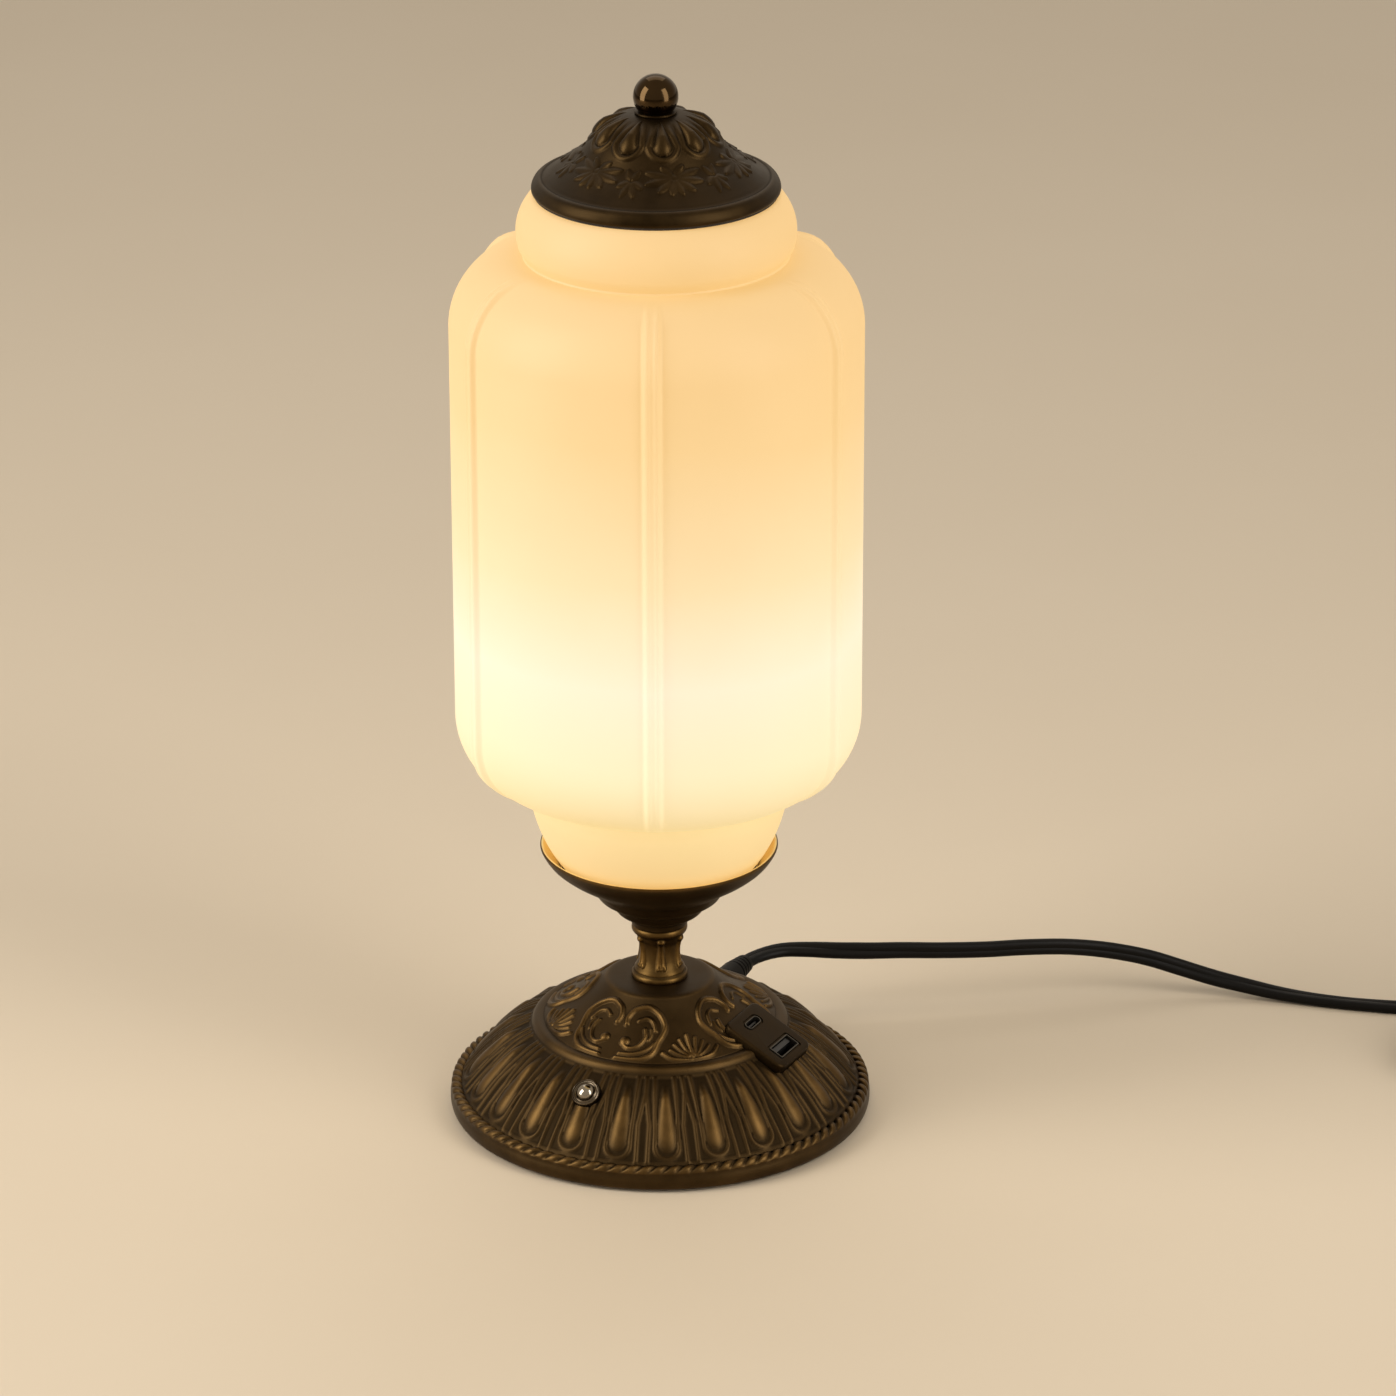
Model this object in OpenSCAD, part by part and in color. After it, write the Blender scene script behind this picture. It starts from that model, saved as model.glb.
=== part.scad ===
// Table lamp: a fluted bronze base, a brass stem and cup, an opal glass cylinder with ribs
// and a bronze cap under a ball finial. Millimetres, +Z up. The origin is on the table under
// the middle of the base, and the push button faces -Y.

/* [Base] */
// Diameter over the rim of the base
base_d = 150; // [142:1:170]
// Height of the flat top of the base above the table
base_h = 49.5; // [47:0.5:56]
// Diameter of the ridge between the dome and the fluted skirt
ridge_d = 89; // [86:1:94]
// Height of that ridge above the table
ridge_z = 32; // [30:0.5:35]
// Diameter of the flat top that carries the stem
plateau_d = 39; // [34:0.5:44]
// Height of the plain band round the rim
rim_band = 5.2; // [4.8:0.1:6.5]
// Gap between the rim and the table
rim_lift = 1; // [0.5:0.1:1.4]
// Wall of the cast shell
shell_wall = 3; // [2.4:0.1:3.6]
// Tongues round the skirt
flutes = 24; // [16:4:24]
// Height of the tongues over the grooves beside them
flute_relief = 1.3; // [0.4:0.1:1.6]
// Thickness of the rope round the rim
rope_d = 4.4; // [3.6:0.1:5]
// Thickness of the foam pad under the base
pad_t = 1.6; // [1.5:0.1:2]
// Thickness of the steel plate that closes the base
plate_t = 3; // [2:0.5:4]

/* [Stem and cup] */
// Height of the stem
stem_h = 20.5; // [16:0.5:30]
// Diameter of the foot of the stem
stem_foot_d = 20; // [17:0.5:26]
// Diameter of the waist of the stem
stem_waist_d = 14; // [13:0.5:16]
// Diameter over the rim of the cup
cup_d = 82.6; // [80:0.2:88]
// Height of the cup from the stem to its rim
cup_h = 31; // [29:0.5:34]
// Outside diameter of the threaded pipe
pipe_d = 10; // [9.5:0.1:10]
// Bore of the threaded pipe
pipe_bore = 7; // [6.4:0.1:7.4]

/* [Glass shade] */
// Diameter of the glass between its ribs
shade_d = 142; // [134:1:152]
// Height of the straight part of the glass
barrel_h = 142; // [110:1:170]
// Radius of the two shoulders
shoulder_r = 25; // [22:0.5:27]
// Height of the collar that sits in the cup
low_collar_h = 33.8; // [30:0.2:38]
// Height of the collar under the cap
top_collar_h = 21.4; // [18:0.2:26]
// Wall of the glass
glass_t = 3.8; // [3:0.1:4]
// Ribs down the glass
ribs = 6; // [4:1:8]
// Width of a rib
rib_w = 7.2; // [6:0.1:8.4]
// Height of a rib over the glass
rib_rise = 1.7; // [1:0.1:2.2]

/* [Cap and finial] */
// Diameter over the brim of the cap
cap_d = 84.6; // [83:0.2:88]
// Height of the cap from its brim to its flat top
cap_h = 27.2; // [24:0.2:30]
// Wall of the cap
cap_wall = 2.2; // [1.8:0.1:2.4]
// Drop-shaped lobes round the crown
lobes = 10; // [8:1:12]
// Height of those lobes
lobe_rise = 1.8; // [0.5:0.1:2]
// Diameter of the ball
ball_d = 15.4; // [14:0.2:20]

/* [Lamp holder and bulb] */
// Diameter of the lamp holder, of the E27 size
holder_d = 39; // [37:0.5:40]
// Diameter of the bulb
bulb_d = 45; // [40:1:45]
// Width of the harp from wire to wire
harp_w = 53; // [52:0.5:54]
// Thickness of the harp wire
harp_wire = 3.2; // [2.4:0.1:3.6]

/* [Push button and ports] */
// Diameter of the button cap
button_d = 6.2; // [5:0.1:6.4]
// Diameter of the ring round the button
bezel_d = 10.4; // [9.8:0.2:11.4]
// Travel of the button
button_travel = 1.5; // [1:0.1:2]
// Width of the port housing across the slope
usb_w = 23; // [20:0.5:25]
// Length of the port housing down the slope
usb_len = 26; // [25:0.5:29]
// Slope of its face
usb_tilt = 27.5; // [25:0.5:30]

/* [Mains lead] */
// Wide side of the flat twin lead
cord_w = 6.2; // [5.6:0.1:6.4]
// Thin side of the flat twin lead
cord_t = 3.6; // [3:0.1:3.7]
// Radius of the outer loop of the coil
coil_r = 40; // [38:0.5:46]
// Distance from loop to loop
coil_pitch = 4.3; // [4.2:0.1:4.6]

/* [Hidden] */
$fn = 72;
bronze = [0.24, 0.16, 0.08];
brass = [0.62, 0.45, 0.20];
steel = [0.62, 0.63, 0.65];
black = [0.06, 0.06, 0.07];
cream = [0.86, 0.80, 0.68];
opal = [0.98, 0.90, 0.74];

// Heights that follow from the sizes above.
base_r = base_d / 2;
plate_top = pad_t + plate_t;
stem_top = base_h + stem_h;
cup_floor = stem_top + 4.5;
cup_seat = stem_top + 23.5;
cup_rim = stem_top + cup_h;
nut_h = 5;
saddle_z = cup_floor + nut_h;
strap_t = 1.5;
holder_z = saddle_z + strap_t;
gasket_t = 1.5;
shade_z0 = cup_seat + gasket_t;
lip_r = 34.6;
harp_out = harp_w / 2 + harp_wire / 2;
low_shoulder = shade_z0 + low_collar_h + shoulder_r - 1.9;
top_shoulder = low_shoulder + barrel_h;
shade_z1 = top_shoulder + shoulder_r + top_collar_h;
cap_gasket_t = 1;
cap_z0 = shade_z1 + cap_gasket_t;
cap_top = cap_z0 + cap_h;
finial_z = cap_top + 1;

// A quadratic curve from a over b to c, as points in the plane.
function bez_at(a, b, c, t) = (1 - t) * (1 - t) * a + 2 * t * (1 - t) * b + t * t * c;
function bez(a, b, c, n) = [for (i = [0:n]) bez_at(a, b, c, i / n)];
function arc_pts(cx, cz, r, a0, a1, n) = [
    for (i = [0:n]) let (a = a0 + (a1 - a0) * i / n) [cx + r * cos(a), cz + r * sin(a)]];
function flip(v) = [for (i = [len(v) - 1:-1:0]) v[i]];
function unit(v) = v / norm(v);

// The curves of the base in half section, with the outer skin of the skirt and dome.
ridge_r = ridge_d / 2;
plateau_r = plateau_d / 2;
skirt_a = [ridge_r, ridge_z];
skirt_c = [base_r - 4, rim_band + 4.3];
skirt_b = [ridge_r + 0.415 * (skirt_c[0] - ridge_r), ridge_z - 3];
dome_a = [ridge_r - 2.4, ridge_z + 1.5];
dome_b = [plateau_r + 8.4, base_h - 7.7];
dome_c = [plateau_r + 0.4, base_h - 1];
function skirt(t) = bez_at(skirt_a, skirt_b, skirt_c, t);
function skirt_dir(t) = unit((1 - t) * (skirt_b - skirt_a) + t * (skirt_c - skirt_b));
function skirt_tilt(t) = atan2(-skirt_dir(t)[1], skirt_dir(t)[0]);

// Push button on the skirt at the front, ports on a raised face at +X, lead at the back.
button_t = 0.44;
usb_r = ridge_r - 1;
usb_z = ridge_z + 3.4;
port_step = 7;
gland_z = 26.5;
base_grown = base_r - 75;
gland_y = 66.5 + base_grown;
gland_len = 20.5;
gland_in = gland_y - gland_len;
screw_r = base_r - 21;

// Rounded ledge over the tongues, out and up from the ridge.
ledge = [[0.9, 0.9], [-0.3, 1.8], [-1.7, 2]];

// Rings of a turned skin: each ring is [radius, height, count, kind, place].
// Kind 1 carries the tongues, kind 2 the rope, kind 3 the lobes of the cap.
rope_c = [base_r - rope_d / 2, rim_band + rope_d / 2 - 0.1];
skirt_steps = [0.05, 0.15, 0.29, 0.44, 0.59, 0.73, 0.85, 0.95];
base_rings = concat(
    [[base_r - 0.6, rim_lift, 96, 0, 0], [base_r, rim_lift + 1.2, 96, 0, 0],
     [base_r, rim_band, 96, 0, 0]],
    [for (a = [-30, 20, 70, 120])
        [rope_c[0] + rope_d / 2 * cos(a), rope_c[1] + rope_d / 2 * sin(a), 288, 2, a]],
    [[skirt_c[0] + 0.3, skirt_c[1] - 0.2, 96, 0, 0]],
    [for (s = flip(skirt_steps)) [skirt(s)[0], skirt(s)[1], flutes * 8, 1, s]],
    [for (p = ledge) [ridge_r + p[0], ridge_z + p[1], 96, 0, 0]],
    [for (p = bez(dome_a, dome_b, dome_c, 6)) [p[0], p[1], 96, 0, 0]],
    [[plateau_r, base_h, 96, 0, 0]]);

// Height of a tongue and of the thin frame round it, u across a tongue and s down the skirt.
function tongue_half(s) = 0.1 + 0.16 * min(1, s / 0.45);
function tongue(u, s) =
    max(0, 1 - (u / tongue_half(s)) ^ 2) * min(1, 0.35 + s * 1.6) * (s > 0.8 ? 0.3 : 1);
function frame(u) = max(0, 1 - ((abs(u) - 0.375) / 0.12) ^ 2);
function flute(u, s) = s > 0.9 ? 0.2 : -0.6 + tongue(u, s) + 0.75 * frame(u);
function wrap(x) = x - floor(x + 0.5);

// The twist of the rope shows on its upper side and dies out towards the plain band.
rope_fade = [[-30, 0], [20, 0.6], [70, 1], [120, 0.8]];

// Drops on the crown: broad low down and thin towards the ball.
function drop(u, s) = max(0, 1 - (u / (0.46 - 0.36 * s)) ^ 2) * (1 - 0.8 * s);

function swell(g, a) =
    g[3] == 1 ? flute_relief * flute(wrap((a + 90) * flutes / 360), g[4])
    : g[3] == 2 ? 0.11 * rope_d * lookup(g[4], rope_fade) * cos(96 * a - 1.7 * g[4])
    : g[3] == 3 ? lobe_rise * drop(wrap((a + 55) * lobes / 360), g[4]) : 0;
function lean(rings, i) = let (lo = rings[max(i - 1, 0)], hi = rings[min(i + 1, len(rings) - 1)])
    unit([hi[1] - lo[1], lo[0] - hi[0]]);
function ring_points(rings, i) = let (g = rings[i], n = lean(rings, i)) [
    for (k = [0:g[2] - 1]) let (a = k * 360 / g[2], h = swell(g, a))
        [(g[0] + h * n[0]) * cos(a), (g[0] + h * n[0]) * sin(a), g[1] + h * n[1]]];

// Faces between two rings whose counts are equal or a whole multiple of one another.
function band(a, na, b, nb) = nb >= na
    ? let (m = nb / na, h = ceil(m / 2)) [for (k = [0:na - 1]) each concat(
        [for (j = [0:m - 1])
            [a + (k + (j < h ? 0 : 1)) % na, b + m * k + j, b + (m * k + j + 1) % nb]],
        [[a + k, b + (m * k + h) % nb, a + (k + 1) % na]])]
    : let (m = na / nb, h = ceil(m / 2)) [for (k = [0:nb - 1]) each concat(
        [for (j = [0:m - 1])
            [a + m * k + j, b + (k + (j < h ? 0 : 1)) % nb, a + (m * k + j + 1) % na]],
        [[a + (m * k + h) % na, b + k, b + (k + 1) % nb]])];
function starts(rings, i = 0, at = 0) = i == len(rings) ? []
    : concat([at], starts(rings, i + 1, at + rings[i][2]));

module turned_skin(rings) {
    last = len(rings) - 1;
    from = starts(rings);
    total = from[last] + rings[last][2];
    points = concat([for (i = [0:last]) each ring_points(rings, i)],
        [[0, 0, rings[0][1]], [0, 0, rings[last][1]]]);
    sides = [for (i = [0:last - 1]) each band(from[i], rings[i][2], from[i + 1], rings[i + 1][2])];
    foot = [for (k = [0:rings[0][2] - 1]) [total, k, (k + 1) % rings[0][2]]];
    head = [for (k = [0:rings[last][2] - 1])
        [total + 1, from[last] + (k + 1) % rings[last][2], from[last] + k]];
    polyhedron(points, concat(sides, foot, head));
}

// A tube of a given section along a path of [x, y, z, roll]. A roll of 0 lays the wide side
// level and 90 stands it on edge.
function path_dir(p, i) = let (a = p[max(i - 1, 0)], b = p[min(i + 1, len(p) - 1)])
    unit([b[0] - a[0], b[1] - a[1], b[2] - a[2]]);
function sweep_ring(p, i, section) = let (
    d = path_dir(p, i),
    flat = abs(d[2]) > 0.99 ? [1, 0, 0] : unit(cross([0, 0, 1], d)),
    up = cross(d, flat),
    wide = cos(p[i][3]) * flat + sin(p[i][3]) * up,
    thin = cross(d, wide))
    [for (q = section) [p[i][0], p[i][1], p[i][2]] + q[0] * wide + q[1] * thin];
module swept(path, section) {
    n = len(section);
    last = len(path) - 1;
    points = [for (i = [0:last]) each sweep_ring(path, i, section)];
    sides = [for (i = [0:last - 1]) for (k = [0:n - 1])
        each [[i * n + k, (i + 1) * n + (k + 1) % n, i * n + (k + 1) % n],
              [i * n + k, (i + 1) * n + k, (i + 1) * n + (k + 1) % n]]];
    ends = concat([for (k = [1:n - 2]) [0, k, k + 1]],
        [for (k = [1:n - 2]) [last * n, last * n + k + 1, last * n + k]]);
    polyhedron(points, concat(sides, ends));
}
function round_section(r, n) = [for (k = [0:n - 1]) r * [cos(k * 360 / n), sin(k * 360 / n)]];
function path_len(p) = [for (i = 1, s = 0; i <= len(p);
    s = s + (i < len(p) ? norm(p[i] - p[i - 1]) : 0), i = i + 1) s][len(p) - 1];

// Route of the lead from its bush to the coil, as [x, y, z, roll].
cord_route = [for (p = [
    [0, 66.5, 26.5, 0], [0, 68, 26.5, 0], [2.5, 74.5, 27, 5], [7.5, 81.5, 27.2, 15],
    [15, 86.5, 27, 30], [24, 91.5, 26.5, 50], [34, 97.5, 26, 70], [45, 105, 25.5, 85],
    [57, 113.5, 24.5, 90], [70, 123.5, 23.5, 90], [82.5, 133.5, 23, 90], [95, 144, 21.5, 90],
    [107.5, 154, 18.5, 85], [119.5, 161.5, 15, 75], [130.5, 167, 11, 60],
    [141.5, 171.5, 7.5, 45], [152, 175.5, 5, 30], [163, 178.5, 3.2, 15], [174, 181, 2.3, 5],
    [185.5, 183.5, 2, 0], [197, 186.5, 2, 0], [208, 190, 2, 10], [219, 193.5, 2.6, 30],
    [229.5, 196.5, 3.4, 60], [240, 200, 4, 85], [250, 203, 4, 90]]) p + [0, base_grown, 0, 0]];

// The coil: in along the table, up a layer in the half turn where it reverses, and out again
// on top, with a straight tail that comes down to the plug.
coil_c = [268.5, 167 + base_grown];
coil_start = 108;
coil_turns = 3.361;
coil_low = 4;
coil_step = cord_w + 0.6;
tail_turn = coil_start - 360 * (2 * coil_turns + 0.5);
tail_dir = [sin(tail_turn), -cos(tail_turn)];
function smooth(t) = t * t * (3 - 2 * t);
function coil_radius(k) = k <= coil_turns ? coil_r - coil_pitch * k
    : k <= coil_turns + 0.5
        ? coil_r - coil_pitch * coil_turns - 1.1 * sin(360 * (k - coil_turns))
    : coil_r - coil_pitch * (2 * coil_turns + 0.5 - k);
function coil_height(k) = coil_low + coil_step * smooth(min(1, max(0, 2 * (k - coil_turns))));
function coil_point(k) = let (a = coil_start - 360 * k, r = coil_radius(k))
    [coil_c[0] + r * cos(a), coil_c[1] + r * sin(a), coil_height(k), 90];
coil_end = 2 * coil_turns + 0.5;
coil_loops = [for (i = [0:floor(coil_end * 24)]) coil_point(i / 24)];
tail_from = coil_point(coil_end);
plug_axis = 6.9;
tail_pts = [for (s = [[0, 1, 90], [8, 1, 90], [16, 1, 85], [24, 0.9, 65], [32, 0.6, 40],
    [40, 0.25, 15], [48, 0, 0], [55, 0, 0]])
    [tail_from[0] + s[0] * tail_dir[0], tail_from[1] + s[0] * tail_dir[1],
     plug_axis + s[1] * (tail_from[2] - plug_axis), s[2]]];
coil_path = concat([cord_route[len(cord_route) - 1]], coil_loops, tail_pts);
plug_at = tail_pts[len(tail_pts) - 1];

// Flat twin section with ten sides for the lead and six for the coil.
flat_half = (cord_w - cord_t) / 2;
cord_section = concat(
    [for (a = [-90:45:90]) [flat_half + cord_t / 2 * cos(a), cord_t / 2 * sin(a)]],
    [for (a = [90:45:270]) [-flat_half + cord_t / 2 * cos(a), cord_t / 2 * sin(a)]]);
coil_section = [[cord_w / 2, 0], [flat_half, cord_t / 2], [-flat_half, cord_t / 2],
    [-cord_w / 2, 0], [-flat_half, -cord_t / 2], [flat_half, -cord_t / 2]];

// Least gap of the coil to itself, from its points on edge more than half a loop apart.
coil_gap = min([for (i = [0:len(coil_loops) - 1]) for (j = [i + 13:1:len(coil_loops) - 1])
    let (a = coil_loops[i], b = coil_loops[j],
        flat = norm([a[0] - b[0], a[1] - b[1]]),
        tall = max(0, abs(a[2] - b[2]) - 2 * flat_half))
    norm([flat, tall]) - cord_t]);
cord_total = path_len([for (p = concat(cord_route, coil_path)) [p[0], p[1], p[2]]]);
echo(coil_gap = coil_gap, cord_total = cord_total);

// Places on the base: a turn about the lamp's axis and a tilt with the slope.
module on_slope(turn, r, z, tilt) {
    rotate([0, 0, turn]) translate([0, -r, z]) rotate([tilt, 0, 0]) children();
}
module on_button() {
    on_slope(0, skirt(button_t)[0], skirt(button_t)[1], skirt_tilt(button_t)) children();
}
module on_usb() {
    on_slope(90, usb_r, usb_z, usb_tilt) children();
}
module ring(r_out, r_in, z0, z1) {
    translate([0, 0, z0]) difference() {
        cylinder(r = r_out, h = z1 - z0);
        translate([0, 0, -1]) cylinder(r = r_in, h = z1 - z0 + 2);
    }
}
module hex_nut(across, bore, h) {
    difference() {
        cylinder(r = across / 2 / cos(30), h = h, $fn = 6);
        translate([0, 0, -1]) cylinder(r = bore / 2, h = h + 2);
    }
}
function slab_points(w, l, r) = [for (c = [[1, 1, 0], [-1, 1, 90], [-1, -1, 180], [1, -1, 270]])
    for (a = [0:22.5:90])
        [c[0] * (w / 2 - r) + r * cos(a + c[2]), c[1] * (l / 2 - r) + r * sin(a + c[2])]];
module slab(w, l, r, z0, z1) {
    translate([0, 0, z0]) linear_extrude(height = z1 - z0) polygon(slab_points(w, l, r));
}
module at_screws() {
    for (k = [0:3]) rotate([0, 0, 45 + 90 * k]) translate([0, -screw_r, 0]) children();
}

// Cast shell of the base: fluted skirt, rope rim and dome, hollow inside, with four screw
// bosses, a flat seat for the push button and a window for the ports.
lower_r = base_r - 3.8;
inner_a = [ridge_r - 1.6, ridge_z - shell_wall - 0.8];
inner_b = skirt_b - [1.8, shell_wall + 0.3];
inner_c = [skirt_c[0] - 3.4, skirt_c[1] - 1.6];
roof_z = base_h - shell_wall;
module base_cavity() {
    rotate_extrude() polygon(concat(
        [[0, -1], [lower_r, -1], [lower_r, plate_top], [inner_c[0], plate_top]],
        flip(bez(inner_a, inner_b, inner_c, 6)),
        bez(inner_a - [1.2, -1], dome_b - [1.2, shell_wall - 0.2], [plateau_r - 2, roof_z], 5),
        [[0, roof_z]]));
}
module base_bosses() {
    at_screws() translate([0, 0, plate_top]) cylinder(r = 4, h = skirt(0.42)[1] - plate_top - 4.6);
    on_button() translate([0, 0, -shell_wall - 2.6]) cylinder(r = 7.6, h = 3);
}
module base_shell() {
    color(bronze) difference() {
        turned_skin(base_rings);
        difference() {
            base_cavity();
            base_bosses();
        }
        translate([0, 0, base_h - 10]) cylinder(d = pipe_d + 0.4, h = 20);
        at_screws() translate([0, 0, plate_top - 1]) cylinder(r = 1.5, h = 11);
        on_button() translate([0, 0, -20]) cylinder(r = 4.2, h = 30);
        on_button() translate([0, 0, -0.9]) cylinder(d = bezel_d + 0.4, h = 12);
        on_usb() slab(usb_w + 0.6, usb_len + 0.6, 3.3, -16, 12);
        translate([0, gland_in - 6, gland_z]) rotate([-90, 0, 0]) cylinder(r = 4.7, h = 40);
    }
}

// Steel plate that closes the base from below, with four countersunk holes.
module base_plate() {
    color(steel) difference() {
        translate([0, 0, pad_t]) cylinder(r = lower_r - 0.3, h = plate_t);
        at_screws() translate([0, 0, pad_t - 0.01]) cylinder(r1 = 3.3, r2 = 1.7, h = 1.8);
        at_screws() translate([0, 0, pad_t - 1]) cylinder(r = 1.7, h = plate_t + 2);
    }
}

// Foam pad on which the lamp stands.
module foam_pad() {
    color(black) cylinder(r = lower_r - 0.5, h = pad_t);
}

// Four countersunk screws from the plate into the bosses.
module plate_screws() {
    color(steel) at_screws() {
        translate([0, 0, pad_t + 0.1]) cylinder(r1 = 3.1, r2 = 1.45, h = 1.7);
        translate([0, 0, pad_t + 0.2]) cylinder(r = 1.45, h = plate_t + 7);
    }
}

// Washer and nut that hold the threaded pipe under the top of the base.
module base_washer() {
    color(steel) ring(12, pipe_d / 2 + 0.2, roof_z - 1.5, roof_z);
}
module base_nut() {
    color(steel) translate([0, 0, roof_z - 1.5 - nut_h]) hex_nut(17, pipe_d + 0.2, nut_h);
}

// Threaded pipe from the base to the lamp holder, hollow for the lead.
pipe_z0 = roof_z - 1.5 - nut_h - 3;
pipe_z1 = holder_z + 9;
module threaded_pipe() {
    color(steel) ring(pipe_d / 2, pipe_bore / 2, pipe_z0, pipe_z1);
}

// Turned stem with beads, a waist and a collar under the cup.
waist_r = stem_waist_d / 2;
foot_r = stem_foot_d / 2;
module stem() {
    color(brass) rotate_extrude() polygon(concat(
        [[pipe_d / 2 + 0.2, base_h], [foot_r, base_h], [foot_r, base_h + 1.6],
         [foot_r - 1, base_h + 2.2], [foot_r - 0.9, base_h + 3.6]],
        bez([foot_r - 1.3, base_h + 4], [waist_r, base_h + 6], [waist_r, base_h + stem_h * 0.5], 4),
        bez([waist_r, base_h + stem_h * 0.56], [waist_r + 0.2, stem_top - 5], [9, stem_top - 3.6], 4),
        [[9.5, stem_top - 3], [9.5, stem_top - 1], [8.9, stem_top], [pipe_d / 2 + 0.2, stem_top]]));
}

// Cup with three steps outside and a level seat for the glass inside.
cup_r = cup_d / 2;
seat_r = lip_r + 0.3;
cup_inner = [[12, cup_floor], [13.4, stem_top + 8], [15.2, stem_top + 11], [20, stem_top + 14.6],
    [25.4, cup_seat - 3.6], [27.2, cup_seat], [seat_r, cup_seat]];
module cup() {
    color(brass) rotate_extrude() polygon(concat([
        [pipe_d / 2 + 0.2, stem_top], [9.8, stem_top], [10.3, stem_top + 2], [11.6, stem_top + 3.2],
        [15, stem_top + 5], [16, stem_top + 7], [17.2, stem_top + 8.4], [21, stem_top + 10.6],
        [22.4, stem_top + 12.8], [24.4, stem_top + 15], [cup_r - 11, stem_top + 19],
        [cup_r - 6, stem_top + 22.6], [cup_r - 2.6, cup_rim - 5.2], [cup_r - 0.6, cup_rim - 2],
        [cup_r, cup_rim], [cup_r - 1.4, cup_rim], [cup_r - 2.2, cup_rim - 1.8],
        [cup_r - 4.2, cup_rim - 4.4]], flip(cup_inner), [[pipe_d / 2 + 0.2, cup_floor]]));
}

// Nut in the cup that clamps stem and cup on the pipe.
module cup_nut() {
    color(steel) translate([0, 0, cup_floor]) hex_nut(17, pipe_d + 0.2, nut_h);
}

// Bent strap under the lamp holder with two ears for the harp.
saddle_out = harp_w / 2 - harp_wire / 2 - 0.1;
saddle_gap = 1.7;
ear_low = lookup(saddle_out, cup_inner) + saddle_gap;
ear_top = ear_low + 9;
module harp_saddle() {
    color(brass) difference() {
        translate([0, 5.5, 0]) rotate([90, 0, 0]) linear_extrude(height = 11) polygon([
            [-saddle_out, ear_top], [-saddle_out, ear_low], [-12.2, saddle_z],
            [12.2, saddle_z], [saddle_out, ear_low], [saddle_out, ear_top],
            [saddle_out - strap_t, ear_top], [saddle_out - strap_t, ear_low + 0.5],
            [11.6, holder_z], [-11.6, holder_z], [-saddle_out + strap_t, ear_low + 0.5],
            [-saddle_out + strap_t, ear_top]]);
        translate([0, 0, saddle_z - 1]) cylinder(r = pipe_d / 2 + 0.2, h = 4);
    }
}

// Harp of round wire from ear to ear over the bulb, with a boss at the top.
harp_low = max(cup_seat + 0.5, shade_z0 + (harp_out - lip_r + glass_t + 0.6) * 2.5);
harp_top = shade_z1 - 18;
harp_bend = shade_z1 - 75;
function harp_arc(a) = [harp_w / 2 * cos(a), 0, harp_bend + (harp_top - harp_bend) * sin(a), 0];
harp_path = concat([[harp_w / 2, 0, harp_low, 0], [harp_w / 2, 0, harp_low + 60, 0]],
    [for (a = [0:9:180]) harp_arc(a)],
    [[-harp_w / 2, 0, harp_low + 60, 0], [-harp_w / 2, 0, harp_low, 0]]);
function harp_ring(i) = let (d = path_dir(harp_path, i), p = harp_path[i])
    [for (q = round_section(harp_wire / 2, 10))
        [p[0], p[1], p[2]] + q[0] * [0, 1, 0] + q[1] * cross(d, [0, 1, 0])];
module harp() {
    n = 10;
    last = len(harp_path) - 1;
    color(brass) union() {
        polyhedron([for (i = [0:last]) each harp_ring(i)], concat(
            [for (i = [0:last - 1]) for (k = [0:n - 1])
                each [[i * n + k, (i + 1) * n + (k + 1) % n, i * n + (k + 1) % n],
                      [i * n + k, (i + 1) * n + k, (i + 1) * n + (k + 1) % n]]],
            [for (k = [1:n - 2]) [0, k, k + 1]],
            [for (k = [1:n - 2]) [last * n, last * n + k + 1, last * n + k]]));
        translate([0, 0, harp_top - 4]) cylinder(r = 6, h = 8);
    }
}

// Threaded stud on the harp that holds the finial.
stud_top = finial_z + 7;
module harp_stud() {
    color(brass) union() {
        translate([0, 0, harp_top + 4]) cylinder(r = 4.6, h = 3, $fn = 6);
        translate([0, 0, harp_top + 4]) cylinder(r = 3, h = stud_top - harp_top - 4);
    }
}

// Lamp holder of the E27 size: body, screw shell and middle contact.
holder_r = holder_d / 2;
holder_floor = holder_z + 14.5;
holder_top = holder_z + 46;
module lampholder_body() {
    color(cream) rotate_extrude() polygon([
        [pipe_d / 2 + 0.2, holder_z], [11, holder_z], [11.5, holder_z + 6], [16, holder_z + 11],
        [holder_r, holder_z + 16], [holder_r, holder_top - 2], [holder_r - 1, holder_top],
        [14.4, holder_top], [14.4, holder_floor], [0, holder_floor], [0, pipe_z1],
        [pipe_d / 2 + 0.2, pipe_z1]]);
}
module lampholder_shell() {
    color(brass) ring(14.1, 13.6, holder_floor, holder_top - 3.8);
}
module lampholder_contact() {
    color(brass) translate([0, 0, holder_floor]) cylinder(r = 5, h = 2);
}

// Bulb: bottom contact, screw cap, lower body and globe.
cap_foot = holder_floor + 4;
cap_head = holder_top - 3.4;
body_head = cap_head + 16;
globe_z = body_head + sqrt((bulb_d / 2) ^ 2 - 17.4 ^ 2);
module bulb_contact() {
    color(steel) translate([0, 0, cap_foot - 1.8]) cylinder(r1 = 4.4, r2 = 6, h = 1.8);
}
module bulb_cap() {
    color(steel) translate([0, 0, cap_foot]) cylinder(r1 = 12.6, r2 = 13.4, h = 2);
    color(steel) translate([0, 0, cap_foot + 2]) cylinder(r = 13.4, h = cap_head - cap_foot - 2);
}
module bulb_body() {
    color([0.94, 0.94, 0.92]) union() {
        translate([0, 0, cap_head]) cylinder(r = 13.8, h = 4);
        translate([0, 0, cap_head + 4]) cylinder(r1 = 13.8, r2 = 17.4, h = body_head - cap_head - 4);
    }
}
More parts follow.
